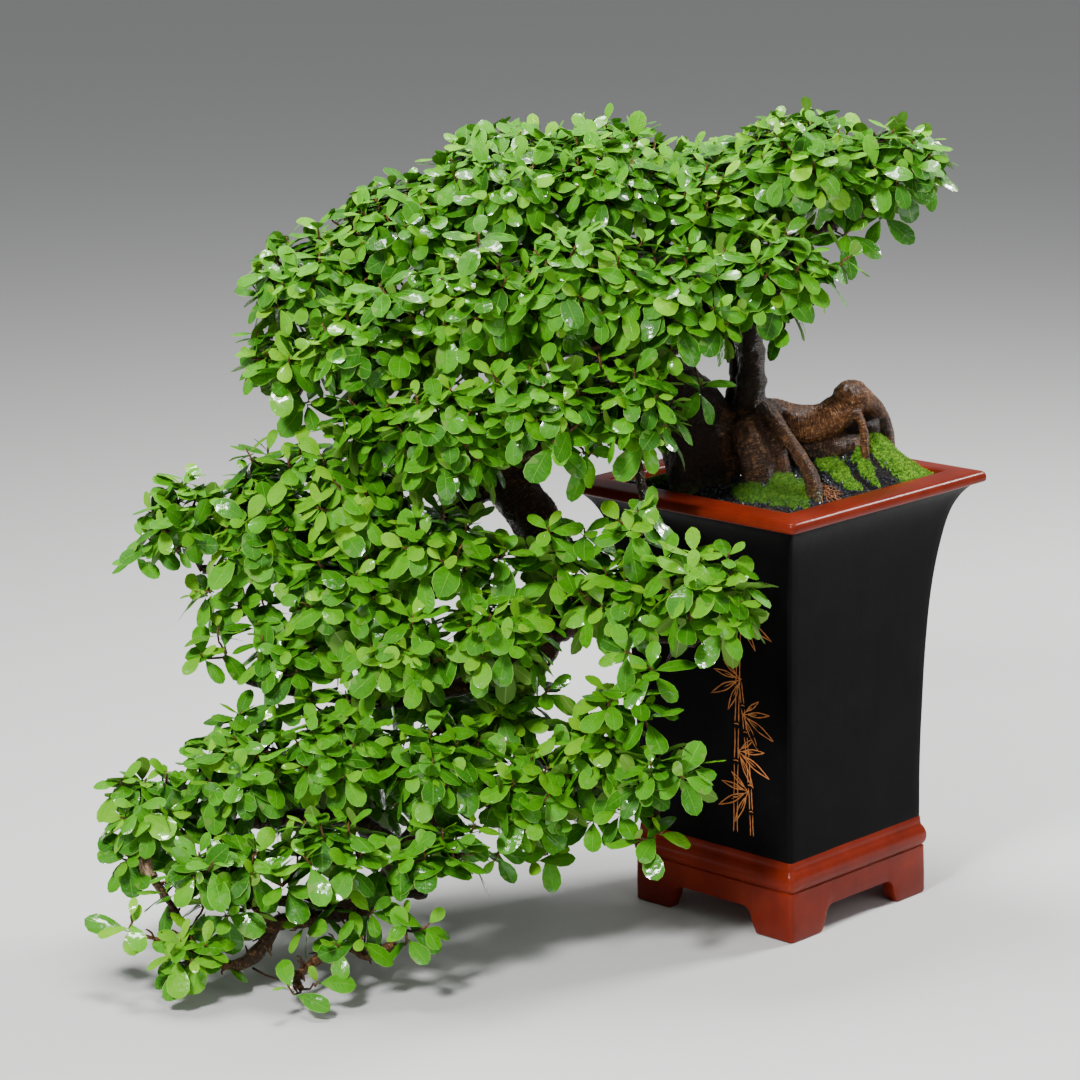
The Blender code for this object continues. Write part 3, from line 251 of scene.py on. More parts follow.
# Outer and inner leaves: places along one, its widths there and places across, as shares
LEAF_GRADES = (
    ((0.0, 0.10, 0.22, 0.40, 0.60, 0.80, 0.93), (0.055, 0.075, 0.40, 0.79, 1.0, 0.90, 0.54),
     (-1.0, 0.0, 1.0)),
    ((0.0, 0.14, 0.50, 0.85), (0.06, 0.08, 0.94, 0.88), (-1.0, 0.0, 1.0)),
)
# How much brighter the leaves of some parts are painted: painted light where the lamps light them less
PART_PAINTED_LIGHT = {"tier2": 0.07, "mid": 0.09, "pad": 0.09, "knee": 0.05, "low": 0.02, "rim": 0.02}
# Loose sprigs at the ends of twigs: how many shoots each has, and leaves on a shoot
LOOSE_PADS = {
    "low_tip": (1, 3), "mid_sprig": (2, 4), "low_front": (2, 3), "low_right": (3, 4), "low_inner": (2, 4),
    "low_left": (4, 5), "pad_lower_tip": (2, 4), "tier3_right": (2, 4), "rim_cluster": (5, 5),
}

# Places of more shoots, where the foliage hangs lower or stands higher than its pads
MORE_SHOOTS = in_metres([
    (-581, -245, 62), (-556, -235, 43), (-597, -260, 47), (-575, -225, 88), (-613, -205, 92),
    (-478, -240, 66), (-463, -50, 540), (-524, -60, 494), (-483, -80, 487), (-450, -85, 493),
    (-568, -75, 357), (-539, -80, 343), (-558, -95, 325), (-520, -100, 332), (-160, -200, 319),
    (-137, -205, 304), (-174, -200, 273), (-142, -205, 260), (-61, -205, 412), (-87, -190, 403),
    (-78, -85, 555), (-193, -185, 148), (-170, -190, 158), (-290, -195, 113), (-631, -150, 186),
    (-655, -165, 112), (-590, -60, 463), (70, -20, 690), (104, 0, 700), (-224, 0, 786),
    (-231, -140, 428), (-196, -140, 425), (-273, -140, 410), (-235, -150, 269), (-451, -220, 78),
    (-526, -240, 84), (-409, -250, 81), (-502, -130, 258), (-468, -135, 262), (-432, -140, 267),
    (-540, -125, 243), (-654, -150, 188), (-610, -150, 193), (-121, -190, 406), (-93, -195, 414),
    (-178, -150, 596), (-227, -165, 594), (-279, -170, 585), (-384, -150, 670), (-364, -170, 352),
    (-280, -140, 402), (-290, -150, 716), (-134, -110, 700), (-450, 0, 705), (-147, -205, 282),
    (-622, -80, 412), (-642, -70, 396)
])
# Shoots that fill the thin places which the others leave
LAST_SHOOTS = in_metres([
    (-506, -34, 489), (-471, -73, 501), (-189, -171, 508), (-578, -73, 356), (-515, -73, 345),
    (-537, -127, 246), (-650, -173, 118), (-640, -250, 81), (-548, -261, 86), (-309, -225, 156),
    (-5, -87, 615), (67, -81, 676), (-513, -29, 608), (-217, 42, 780), (-137, 52, 782), (-4, 30, 784),
    (-436, 20, 708), (-324, 42, 765), (-585, -49, 467), (-177, -164, 271), (-494, -255, 113)
])
# Pads whose undersides are bare, and how far down their outermost shoots may point
FLAT_PADS = {"tier3_f": -0.25, "tier3_g": -0.25, "pad_upper_b": -0.30, "pad_lower_b": -0.30,
             "crown_fringe_a": -0.35, "crown_fringe_b": -0.35}

# Lamps as name, place, power and size
LAMPS = (
    ("key", (-1.3, -2.1, 2.7), 156, 0.65), ("fill", (2.1, -1.9, 1.5), 15, 1.8),
    ("top", (-0.2, 0.5, 2.7), 78, 0.8), ("rim", (1.98, 0.93, 1.9), 90, 0.5),
)


# Mesh helpers


def new_object(name, data):
    """An object in the scene."""
    made = bpy.data.objects.new(name, data)
    bpy.context.scene.collection.objects.link(made)
    return made


def make_piece(name, shape, made_of, sharp=None, values=None, which=None):
    """A smooth-shaded mesh object in the pot's frame, moved to the pot's place."""
    points = np.asarray(shape[0], np.float64) + np.array(AXIS)
    triangles = np.asarray(shape[1], np.int32)
    mesh = bpy.data.meshes.new(name)
    mesh.vertices.add(len(points))
    mesh.vertices.foreach_set("co", points.astype(np.float32).ravel())
    mesh.loops.add(triangles.size)
    mesh.loops.foreach_set("vertex_index", triangles.ravel())
    mesh.polygons.add(len(triangles))
    mesh.polygons.foreach_set("loop_start", np.arange(0, triangles.size, 3, dtype=np.int32))
    mesh.polygons.foreach_set("use_smooth", np.ones(len(triangles), bool))
    mesh.update(calc_edges=True)
    for key, data in (values or {}).items():
        layer = mesh.attributes.new(key, "FLOAT_VECTOR", "POINT")
        layer.data.foreach_set("vector", np.asarray(data, np.float32).ravel())
    for one in made_of if isinstance(made_of, list) else [made_of]:
        mesh.materials.append(one)
    if which is not None:
        mesh.polygons.foreach_set("material_index", np.asarray(which, np.int32))
    if sharp is not None:
        mesh.set_sharp_from_angle(angle=math.radians(sharp))
    return new_object(name, mesh)


def register(piece, slot, *nodes):
    """The piece rides on the part's one body and may stand for CAD nodes, which it hides. The slot is not
    used.
    """
    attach(piece, "root")
    if nodes:
        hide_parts(*nodes)


def joined(shapes):
    """Points and triangles of several shapes as one."""
    points, triangles, start = [], [], 0
    for some_points, some_triangles in shapes:
        points.append(np.asarray(some_points, np.float64))
        triangles.append(np.asarray(some_triangles, np.int64) + start)
        start += len(some_points)
    return np.concatenate(points), np.concatenate(triangles)


def unit(vectors):
    return vectors / np.maximum(np.linalg.norm(vectors, axis=-1, keepdims=True), 1e-9)


def read(items, key, wide, kind=np.float64):
    """One property of all of a mesh's items, as rows."""
    rows = np.empty(len(items) * wide, kind)
    items.foreach_get(key, rows)
    return rows.reshape(-1, wide)


def run_along(line):
    """How far along a line each of its points is."""
    return np.concatenate([[0], np.cumsum(np.linalg.norm(np.diff(line, axis=0), axis=1))])


def smooth_route(route, steps):
    """Points and radii along a smooth curve through the route."""
    route = np.asarray(route, np.float64)
    padded = np.concatenate([route[:1], route, route[-1:]])
    made = []
    for i in range(len(route) - 1):
        before, here, after, beyond = padded[i:i + 4]
        for t in np.arange(steps) / steps:
            row = 0.5 * (2 * here + (after - before) * t
                         + (2 * before - 5 * here + 4 * after - beyond) * t * t
                         + (3 * here - before - 3 * after + beyond) * t ** 3)
            row[3] = here[3] + (after[3] - here[3]) * t
            made.append(row)
    made.append(route[-1])
    made = np.array(made)
    return made[:, :3], made[:, 3]


def directions(line, up=None):
    """At each point of a line the way ahead and two ways square to it, which turn as little as they can."""
    ahead = unit(np.gradient(line, axis=0))
    side = np.empty_like(line)
    now = np.cross(ahead[0], (0.31, 0.52, 0.79)) if up is None else np.cross(up, ahead[0])
    for i, forward in enumerate(ahead):
        now = now - forward * np.dot(now, forward)
        now = now / max(np.linalg.norm(now), 1e-9)
        side[i] = now
    return ahead, side, np.cross(ahead, side)


def rings_sheet(rings, around, closed=False):
    """Triangles between rings of points, where closed also between the last ring and the first."""
    row, k = np.meshgrid(np.arange(rings if closed else rings - 1), np.arange(around), indexing="ij")
    a, b = (row * around + k).ravel(), (row * around + (k + 1) % around).ravel()
    above = (row + 1) % rings * around
    c, d = (above + (k + 1) % around).ravel(), (above + k).ravel()
    return np.concatenate([np.stack([a, b, c], 1), np.stack([a, c, d], 1)])


def sweep(line, radii, sides, squash=1.0, up=None):
    """Points and triangles of a closed tube along a line, oval where squash is under one."""
    line = np.asarray(line, np.float64)
    radii = np.broadcast_to(np.asarray(radii, np.float64), len(line))
    _, side, other = directions(line, up)
    angles = (np.arange(sides) * math.tau / sides)[None, :, None]
    rings = line[:, None] + radii[:, None, None] * (
        np.cos(angles) * side[:, None] + squash * np.sin(angles) * other[:, None])
    count = len(line)
    points = np.concatenate([rings.reshape(-1, 3), line[:1], line[-1:]])
    k, after = np.arange(sides), (np.arange(sides) + 1) % sides
    start, last = count * sides, (count - 1) * sides
    caps = [np.stack([after, k, np.full(sides, start)], 1),
            np.stack([last + k, last + after, np.full(sides, start + 1)], 1)]
    return points, np.concatenate([rings_sheet(count, sides), *caps])


def face_outward(piece):
    """Turn the faces outward where the closed mesh came out inside out."""
    mesh = piece.data
    mesh.calc_loop_triangles()
    spots = read(mesh.vertices, "co", 3)
    a, b, c = (spots - spots.mean(0))[read(mesh.loop_triangles, "vertices", 3, np.int32)].transpose(1, 0, 2)
    if np.einsum("ij,ij->i", a, np.cross(b, c)).sum() < 0:
        mesh.flip_normals()


def changed(piece, kind, **settings):
    """Give the piece the mesh that a modifier makes of it."""
    step = piece.modifiers.new(kind.lower(), kind)
    for key, value in settings.items():
        setattr(step, key, value)
    bpy.context.view_layer.update()
    mesh = bpy.data.meshes.new_from_object(piece.evaluated_get(bpy.context.evaluated_depsgraph_get()))
    piece.modifiers.clear()
    piece.data = mesh


def wave(place, depth):
    """Smooth noise at a place, between about -1 and 1."""
    softness, gain = 0.8, 2.0
    return noise.fractal(Vector(place), softness, gain, depth)


def lumps(points, scale, seed, depth=3):
    """Smooth noise at each point, at a scale and with a seed of its own."""
    away = Vector((seed * 7.3, seed * 3.1, seed * 5.7))
    return np.array([wave(Vector(p) * scale + away, depth) for p in points])


# Materials


class Look:
    """A material in the making, with its node tree, its shader and the object's coordinates."""

    def __init__(self, name, **constants):
        self.made = bpy.data.materials.new(name)
        self.made.use_nodes = True
        self.tree = self.made.node_tree
        self.shader = self.tree.nodes["Principled BSDF"]
        self.feed(**constants)
        self.place = self.add("TexCoord").outputs["Object"]

    def put(self, socket, value):
        """Link a socket to another one, or set it to a constant."""
        if isinstance(value, bpy.types.NodeSocket):
            self.tree.links.new(value, socket)
        else:
            socket.default_value = value

    def feed(self, **inputs):
        """Link or set inputs of the shader, and give the material back."""
        for key, value in inputs.items():
            self.put(self.shader.inputs[key.replace("_", " ")], value)
        return self.made

    def add(self, kind, values=None, **settings):
        """A node with its settings, and its inputs linked or set."""
        made = self.tree.nodes.new("ShaderNode" + kind)
        for key, value in settings.items():
            setattr(made, key, value)
        for key, value in (values or {}).items():
            self.put(made.inputs[key], value)
        return made

    def calc(self, operation, first, second=0.0):
        return self.add("Math", {0: first, 1: second}, operation=operation).outputs[0]

    def times(self, first, second, plus=0.0):
        """The product of two values, plus a third."""
        return self.add("Math", {0: first, 1: second, 2: plus}, operation="MULTIPLY_ADD").outputs[0]

    def step(self, value, low, high, start=0.0, end=1.0):
        """A smooth rise from start to end as the value goes from low to high."""
        return self.add("MapRange", {0: value, 1: low, 2: high, 3: start, 4: end},
                        interpolation_type="SMOOTHSTEP").outputs[0]

    def mix(self, share, first, second):
        """The first colour with a share of the second."""
        first, second = (value if isinstance(value, bpy.types.NodeSocket) else (*value, 1.0)
                         for value in (first, second))
        return self.add("Mix", {0: share, 6: first, 7: second}, data_type="RGBA").outputs[2]

    def ramp(self, value, places, colours):
        """Colours that change along a value."""
        made = self.add("ValToRGB", {0: value})
        ends = made.color_ramp.elements
        while len(ends) < len(places):
            ends.new(0.5)
        for end, place, colour in zip(ends, places, colours):
            end.position = place
            end.color = (*colour, 1.0)
        return made.outputs[0]

    def speckle(self, scale, detail=3.0, rough=0.6, stretch=None, place=None):
        """Noise over the object's coordinates or over another place."""
        place = self.place if place is None else place
        if stretch:
            place = self.add("Mapping", {0: place, 3: stretch}).outputs[0]
        return self.add("TexNoise", {"Vector": place, "Scale": scale, "Detail": detail,
                                     "Roughness": rough}).outputs[0]

    def attribute(self, name):
        return self.add("Attribute", attribute_name=name, attribute_type="GEOMETRY").outputs["Vector"]

    def parts(self, name):
        """The three parts of a mesh's attribute."""
        return self.add("SeparateXYZ", {0: self.attribute(name)}).outputs

    def bump(self, height, distance, strength, *normals):
        """Relief on the shader's normal, or on those that are named."""
        made = self.add("Bump", {"Height": height, "Distance": distance, "Strength": strength})
        self.feed(**{key: made.outputs[0] for key in normals or ("Normal",)})


def drops(look, scale, share):
    """Small round water drops on some of the cells of a pattern."""
    cells = look.add("TexVoronoi", {"Vector": look.place, "Scale": scale, "Randomness": 1.0})
    chosen = look.calc("LESS_THAN", look.add("SeparateColor", {0: cells.outputs[1]}).outputs[0], share)
    return look.times(look.step(cells.outputs[0], 0.30, 0.12), chosen)


def leaf_material():
    look = Look("banyan_leaf_top", Coat_Roughness=0.05, Specular_IOR_Level=0.20)
    across, along, tone = look.parts("leaf")
    across = look.calc("ABSOLUTE", across)
    cloud = look.speckle(70.0)
    patch = look.speckle(125.0, 1.0, 0.4)
    grain = look.speckle(900.0, 2.0)
    rib = look.step(across, 0.070, 0.012)
    beat = look.calc("SINE", look.times(along, 58.0, look.times(across, -7.5)))
    veins = look.times(look.step(beat, 0.72, 1.0), look.step(across, 0.95, 0.55))
    # A pale line along each leaf's edge: painted highlight of the grazing light
    margin = look.step(across, 0.92, 0.98)
    pale = (0.260, 0.560, 0.050)
    tone = look.times(look.calc("SUBTRACT", cloud, 0.5), 0.35, tone)
    colour = look.ramp(tone, (0.0, 0.32, 0.62, 1.0), ((0.005, 0.040, 0.002), (0.023, 0.148, 0.002),
                                                      (0.076, 0.335, 0.003), (0.225, 0.540, 0.006)))
    for mark, share, tint in ((grain, 0.24, (0.050, 0.240, 0.006)), (veins, 0.08, pale), (rib, 0.32, pale),
                              (margin, 0.48, (0.380, 0.660, 0.110))):
        colour = look.mix(look.times(mark, share), colour, tint)
    wet = drops(look, 330.0, 0.30)
    film = look.step(patch, 0.50, 0.58)
    rough = look.times(wet, -0.10, look.times(film, -0.32, look.times(cloud, 0.20, 0.46)))
    water = look.times(patch, 1.8, look.times(wet, 0.9))
    look.bump(look.times(grain, 0.25, look.times(veins, -0.30, look.times(rib, -0.7, water))), 0.0006, 0.60)
    look.bump(water, 0.0006, 0.60, "Coat_Normal")
    return look.feed(Base_Color=colour, Roughness=rough, Coat_Weight=look.times(film, 0.75, 0.15))


def leaf_under_material():
    look = Look("banyan_leaf_under", Roughness=0.55, Specular_IOR_Level=0.25)
    across, _, tone = look.parts("leaf")
    rib = look.step(look.calc("ABSOLUTE", across), 0.08, 0.02, 0.0, 0.6)
    colour = look.ramp(tone, (0.0, 1.0), ((0.035, 0.115, 0.012), (0.210, 0.420, 0.040)))
    colour = look.mix(look.times(look.speckle(260.0), 0.5), colour, (0.09, 0.24, 0.03))
    look.bump(look.calc("ADD", rib, look.speckle(700.0)), 0.0004, 0.4)
    return look.feed(Base_Color=look.mix(rib, colour, (0.34, 0.50, 0.14)))


def bark_material(name, dark, warm, light, gloss):
    """Wet bark. One attribute holds tone, relief and moss, the other the place along and across the limb."""
    look = Look(name, Coat_Weight=gloss, Coat_Roughness=0.12, Specular_IOR_Level=0.26)
    tone, height, moss = look.parts("bark")
    limb = look.attribute("grain")
    rings = look.speckle(1.0, 4.0, 0.66, (760.0, 150.0, 150.0), limb)
    ribs = look.speckle(1.0, 3.0, 0.60, (70.0, 420.0, 420.0), limb)
    cloud = look.speckle(42.0, 5.0)
    grain = look.speckle(430.0, 4.0, 0.7)
    fine = look.speckle(1300.0, 2.0, 0.7)
    relief = look.times(rings, 1.5, look.times(ribs, 0.8, look.times(grain, 0.7)))
    raised = look.times(height, 0.14, relief)
    # Lighter crests of the relief are a painted highlight, and its darker creases painted shade
    crest_highlight = look.times(look.step(raised, 1.53, 1.86), look.times(tone, 0.85, 0.02))
    crease_shade = look.step(raised, 1.49, 1.22, 0.0, 0.85)
    flecks = look.times(look.step(fine, 0.58, 0.72), look.times(tone, 0.35, 0.04))
    green = look.times(moss, look.step(look.speckle(120.0, 4.0), 0.42, 0.60))
    stripped = look.times(look.step(tone, 1.00, 1.22), look.step(ribs, 0.44, 0.54, 0.25, 0.95))
    body = look.mix(look.step(look.calc("ADD", tone, look.times(cloud, 1.0, -0.5)), 0.1, 1.0), dark, warm)
    for share, tint in ((crest_highlight, light), (crease_shade, [part * 0.35 for part in dark]), (flecks, light),
                        (green, (0.085, 0.150, 0.020)), (stripped, (0.520, 0.370, 0.235))):
        body = look.mix(share, body, tint)
    look.bump(look.times(fine, 0.35, relief), 0.0022, 0.90, "Normal", "Coat_Normal")
    return look.feed(Base_Color=body, Roughness=look.times(cloud, 0.40, 0.20))


def glaze_material(name, colours, rough, coat, shine, streak_sheen):
    """Glazed clay with soft mottling, pinholes and long upright streaks in its relief, painted lighter in its
    colour as a painted sheen.
    """
    look = Look(name, Coat_Weight=coat, Coat_Roughness=0.06, Specular_IOR_Level=shine)
    cloud = look.speckle(16.0, 5.0)
    grain = look.speckle(260.0, 4.0)
    streak = look.speckle(1.0, 4.0, 0.6, (90.0, 90.0, 5.0))
    pits = look.step(look.speckle(520.0, 1.0), 0.70, 0.76)
    colour = look.ramp(cloud, (0.30, 0.52, 0.72), colours)
    # Lighter streaks: painted sheen
    colour = look.mix(look.times(streak, streak_sheen), colour, [part * 1.6 for part in colours[-1]])
    colour = look.mix(look.times(pits, 0.7), colour, [part * 0.25 for part in colours[0]])
    relief = look.times(grain, 0.5, look.times(streak, 1.2, cloud))
    look.bump(look.calc("SUBTRACT", relief, pits), 0.0004, 0.30)
    finish = look.times(streak, 0.16, look.times(grain, 0.10, rough - 0.13))
    return look.feed(Base_Color=colour, Roughness=finish)


def patchy_material(name, places, colours, scale, rough, relief_scale, relief, coat=0.0):
    """Colours in patches with a finer grain over them."""
    look = Look(name, Coat_Weight=coat, Coat_Roughness=0.12, Specular_IOR_Level=0.25)
    patches = look.times(look.speckle(scale * 9, 3.0), 0.45, look.times(look.speckle(scale, 4.0), 0.55))
    look.bump(look.speckle(relief_scale, 4.0), relief, 0.6)
    finish = look.times(patches, 0.3, rough - 0.15)
    return look.feed(Base_Color=look.ramp(patches, places, colours), Roughness=finish)


def moss_material():
    look = Look("moss_pile", Roughness=0.85, Specular_IOR_Level=0.12)
    tips, light, _ = look.parts("moss")
    patches = look.times(look.speckle(330.0, 3.0), 0.7, look.times(look.speckle(45.0, 4.0), 0.3))
    colour = look.ramp(patches, (0.40, 0.50, 0.61), ((0.012, 0.050, 0.004), (0.070, 0.210, 0.012),
                                                     (0.210, 0.400, 0.026)))
    colour = look.mix(look.times(tips, 0.50), colour, (0.250, 0.490, 0.032))
    look.bump(look.speckle(1100.0, 3.0), 0.0012, 0.7)
    # The moss is painted darker where the second part of its attribute is low: painted shade near the trunk
    return look.feed(Base_Color=look.mix(look.times(light, -0.62, 0.62), colour, (0.022, 0.058, 0.011)))


# Pot


def wall_half(height, walls):
    """Half side of a wall at a height."""
    levels, halves = zip(*sorted(walls))
    return np.interp(height, levels, halves)


def square_reach(x, y):
    """How far out a place is, as the half side of the pot's square through it."""
    return np.maximum(np.abs(x + y), np.abs(y - x)) / math.sqrt(2)


def square_ring(half, height, corner, cells=22, bend=5):
    """A square turned by 45 degrees with round corners, evenly divided along its sides."""
    inner = half - corner
    ring = []
    for quarter in range(4):
        turn = Matrix.Rotation(math.radians(45 + 90 * quarter), 3, "Z")
        ring += [turn @ Vector((half, inner * (2 * i / cells - 1), height)) for i in range(cells)]
        for i in range(bend):
            angle = math.radians(90 * i / bend)
            x, y = inner + corner * math.cos(angle), inner + corner * math.sin(angle)
            ring.append(turn @ Vector((x, y, height)))
    return ring


def loft(profile):
    """A closed shape of square rings, each given as (height, half side, corner)."""
    rings = [square_ring(half, height, corner) for height, half, corner in profile]
    points = np.array([p[:] for ring in rings for p in ring])
    return points, rings_sheet(len(rings), len(rings[0]), True)


def rounded(profile, steps=5, corner=0.004):
    """The profile with its coarse points joined by a smooth curve."""
    line, _ = smooth_route([(half, height, 0, 0) for height, half in profile], steps)
    return [(height, half, corner) for half, height, _ in line]


def uneven(points, amount, seed):
    """The slight waviness of a hand-made wall, even on the ground and at the edges that meet other pieces."""
    sway = lumps(points, 14.0, seed, 2) * amount
    away = points.copy()
    away[:, 2] = 0
    return points + unit(away) * sway[:, None]


def build_pot(black, red, clay):
    top_half = FLARE[-1][1]
    points, triangles = loft(rounded(FLARE, 4) + [(0.4335, top_half + 0.001, 0.004), (0.4335, 0.1150, 0.002)]
                             + [(height, half, 0.0015) for height, half in INNER_WALL]
                             + [(0.085, 0.0905, 0.002), (0.0800, 0.0925, 0.002), (0.0800, 0.1015, 0.004)])
    shell = make_piece("pot_body", (uneven(points, 0.00035, 2), triangles), black, 35)
    register(shell, "black_glaze", "pot")

    points, triangles = loft(RIM_RINGS)
    band = make_piece("pot_rim", (uneven(points, 0.0003, 2), triangles), red, 40)
    register(band, "red_glaze", "pot")

    inside = FOOT_HALF - SKIRT_WALL
    foot = [(0.0, inside + 0.0015, 0.002)]
    foot += [(height, FOOT_HALF + swell, corner) for height, swell, corner in FROM_FOOT]
    foot += [(height, BODY_HALF + swell, corner) for height, swell, corner in FROM_BODY]
    foot += [(0.0828, 0.0925, 0.002), (FLOOR_TOP, 0.0895, 0.0015), (FLOOR_TOP, 0.030, 0.001),
             (FLOOR_UNDER, 0.030, 0.001), (FLOOR_UNDER, inside - 0.001, 0.002),
             (FLOOR_UNDER - 0.002, inside, 0.002), (0.0012, inside, 0.002)]
    ring = make_piece("pot_foot", loft(foot), red, 40)
    open_feet(ring)
    moved = uneven(read(ring.data.vertices, "co", 3) - np.array(AXIS), 0.0002, 4) + np.array(AXIS)
    ring.data.vertices.foreach_set("co", moved.astype(np.float32).ravel())
    register(ring, "red_glaze", "pot")

    floor = make_piece("pot_floor", floor_disc(), red, 40)
    register(floor, "red_glaze", "pot")
    build_incised(clay)


def floor_disc():
    """The middle of the pot's floor, with its drain hole."""
    sides = 48
    angles = np.arange(sides) * math.tau / sides
    corner = 0.0305 / np.maximum(np.abs(np.cos(angles - math.pi / 4)), np.abs(np.sin(angles - math.pi / 4)))
    rings = []
    for reach, height in ((DRAIN_RADIUS, FLOOR_UNDER + 0.001), (DRAIN_RADIUS + 0.001, FLOOR_UNDER),
                          (corner, FLOOR_UNDER), (corner, FLOOR_TOP), (DRAIN_RADIUS + 0.001, FLOOR_TOP),
                          (DRAIN_RADIUS, FLOOR_TOP - 0.001)):
        rings.append(np.stack([reach * np.cos(angles), reach * np.sin(angles), np.full(sides, height)], 1))
    return np.concatenate(rings), rings_sheet(len(rings), sides, True)


def open_feet(ring):
    """Cut the arch between each two feet, and soften its edges."""
    outline = [(-ARCH_HALF_LOW, -0.01), (-ARCH_HALF_LOW, 0.0)]
    for step in range(9):
        angle = math.pi - step * math.pi / 16
        outline.append((-ARCH_HALF_HIGH + ARCH_ROUND + ARCH_ROUND * math.cos(angle),
                        ARCH_HEIGHT - ARCH_ROUND + ARCH_ROUND * math.sin(angle)))
    outline += [(-x, z) for x, z in reversed(outline)]
    count = len(outline)
    faces = [(i, (i + 1) % count, (i + 1) % count + count, i + count) for i in range(count)]
    faces += [tuple(reversed(range(count))), tuple(range(count, 2 * count))]
    for turn in (45, 135):
        spin = Matrix.Rotation(math.radians(turn), 3, "Z")
        points = [tuple(spin @ Vector((side, x, z)) + AXIS) for side in (-0.16, 0.16) for x, z in outline]
        mesh = bpy.data.meshes.new("arch")
        mesh.from_pydata(points, [], faces)
        cutter = new_object("arch", mesh)
        face_outward(cutter)
        changed(ring, "BOOLEAN", object=cutter, operation="DIFFERENCE", solver="EXACT")
        bpy.data.objects.remove(cutter, do_unlink=True)
    changed(ring, "BEVEL", width=0.0011, segments=2, limit_method="ANGLE", angle_limit=math.radians(55))
    ring.data.shade_smooth()
    ring.data.set_sharp_from_angle(angle=math.radians(40))


def stroke(points, width, turn):
    """A thin stroke on one side of the pot, through points given across and up that side."""
    outward = np.array([math.cos(turn), math.sin(turn), 0.0])
    beside = np.array([-math.sin(turn), math.cos(turn), 0.0])
    flat = smooth_route([(across, up, 0, 0) for across, up in points], 6)[0]
    half = wall_half(flat[:, 1], FLARE)
    line = outward * half[:, None] + beside * flat[:, :1] + np.array([0, 0, 1.0]) * flat[:, 1:2]
    t = np.linspace(0, 1, len(line))
    sway = 1 + 0.22 * np.sin(t * 23 + points[0][0] * 900)
    radii = width / 2 * sway * np.clip(np.minimum(t / 0.12 + 0.25, (1 - t) / 0.25 + 0.15), 0.15, 1)
    return sweep(line, radii, 6, 0.42, up=outward)


def build_incised(clay):
    """A plain bamboo sprig scratched through the black glaze of the front-left side."""
    turn = math.radians(225)
    draw = []
    for foot, lean, top, width in ((0.030, 0.016, 0.330, 0.0026), (0.052, -0.010, 0.262, 0.0020)):
        joints = np.linspace(0.098, top, 7)
        for low, high in zip(joints, joints[1:]):
            ends = [foot + lean * ((z - 0.098) / (top - 0.098)) ** 1.5 for z in (low + 0.0025, high - 0.0025)]
            for side in (-1, 1):
                draw.append(stroke([(ends[0] + side * width, low + 0.0025),
                                    ((ends[0] + ends[1]) / 2 + side * width * 0.8, (low + high) / 2),
                                    (ends[1] + side * width, high - 0.0025)], 0.0011, turn))
            draw.append(stroke([(ends[1] - width * 1.3, high), (ends[1], high + 0.0008),
                                (ends[1] + width * 1.3, high)], 0.0010, turn))
    sprays = ((0.036, 0.186, 1), (0.043, 0.262, -1), (0.048, 0.146, -1), (0.046, 0.330, 1), (0.044, 0.226, 1))
    for across, up, side in sprays:
        for angle, length in ((-62, 0.034), (-28, 0.040), (8, 0.030), (38, 0.022)):
            way = math.radians(angle)
            ahead = Vector((side * math.cos(way), math.sin(way)))
            beside = Vector((-ahead.y, ahead.x))
            start = Vector((across, up)) + ahead * 0.006
            for bulge in (-1, 1):
                middle = start + ahead * length * 0.45 + beside * bulge * length * 0.085
                draw.append(stroke([start, middle, start + ahead * length], 0.0012, turn))
            draw.append(stroke([start - ahead * 0.006, start, start + ahead * length * 0.5], 0.0009, turn))
    register(make_piece("incised_sprig", joined(draw), clay, 50), "incised_clay")


# Wood


def wood_lines():
    """The middle line of every limb, evenly sampled, with the radius and the tone of each sample."""
    lines = {}
    for name, route in {"trunk": TRUNK, **ROOTS, **BRANCHES}.items():
        line, radii = smooth_route(route, ROUTE_STEPS)
        if name == "cut_stub":
            radii = radii * 1.08
        if name in LIMB_TONES_AND_SHADE_ALONG:
            places, tones = LIMB_TONES_AND_SHADE_ALONG[name]
            tone = np.interp(np.arange(len(line)) / ROUTE_STEPS, places, tones)
        else:
            tone = np.full(len(line), LIMB_TONES_AND_SHADE.get(name, 0.30))
        run = run_along(line)
        even = np.linspace(0, run[-1], max(8, round(run[-1] / LIMB_STEP)))
        line = np.stack([np.interp(even, run, line[:, k]) for k in range(3)], 1)
        lines[name] = (line, np.interp(even, run, radii), np.interp(even, run, tone))
    return lines


def limb_shape(line, radii, tone, number, sides):
    """One limb as a gnarled tube: its mesh, normals, radius and tone, and the place along and across."""
    run = run_along(line)
    knots = np.array([wave((r * 75, number * 4.3, 0), 2) for r in run])
    points, triangles = sweep(line, radii * (1 + 0.30 * knots), sides)
    ring = np.concatenate([np.repeat(np.arange(len(line)), sides), [0, len(line) - 1]])
    ways = np.stack(directions(line), 1)[ring]
    out = points - line[ring]
    out[-2:] = ways[-2:, 0] * np.array([[-1.0], [1.0]])
    place = np.einsum("ijk,ik->ij", ways, points - line[ring])
    place[:, 0] = run[ring] + number
    return points, triangles, unit(out), np.stack([radii, tone], 1)[ring], place


def remeshed(name, shapes, voxel):
    """The shapes grown together into one even mesh, as points, triangles and normals."""
    mesh = bpy.data.meshes.new(name)
    points, triangles = joined(shapes)
    mesh.from_pydata([tuple(p) for p in points], [], [tuple(t) for t in triangles.tolist()])
    helper = new_object(name + "_raw", mesh)
    changed(helper, "REMESH", mode="VOXEL", voxel_size=voxel, adaptivity=0.0)
    changed(helper, "SMOOTH", factor=0.5, iterations=3)
    made = helper.data
    made.calc_loop_triangles()
    found = (read(made.vertices, "co", 3), read(made.loop_triangles, "vertices", 3, np.int32),
             read(made.vertices, "normal", 3))
    bpy.data.objects.remove(helper, do_unlink=True)
    return found


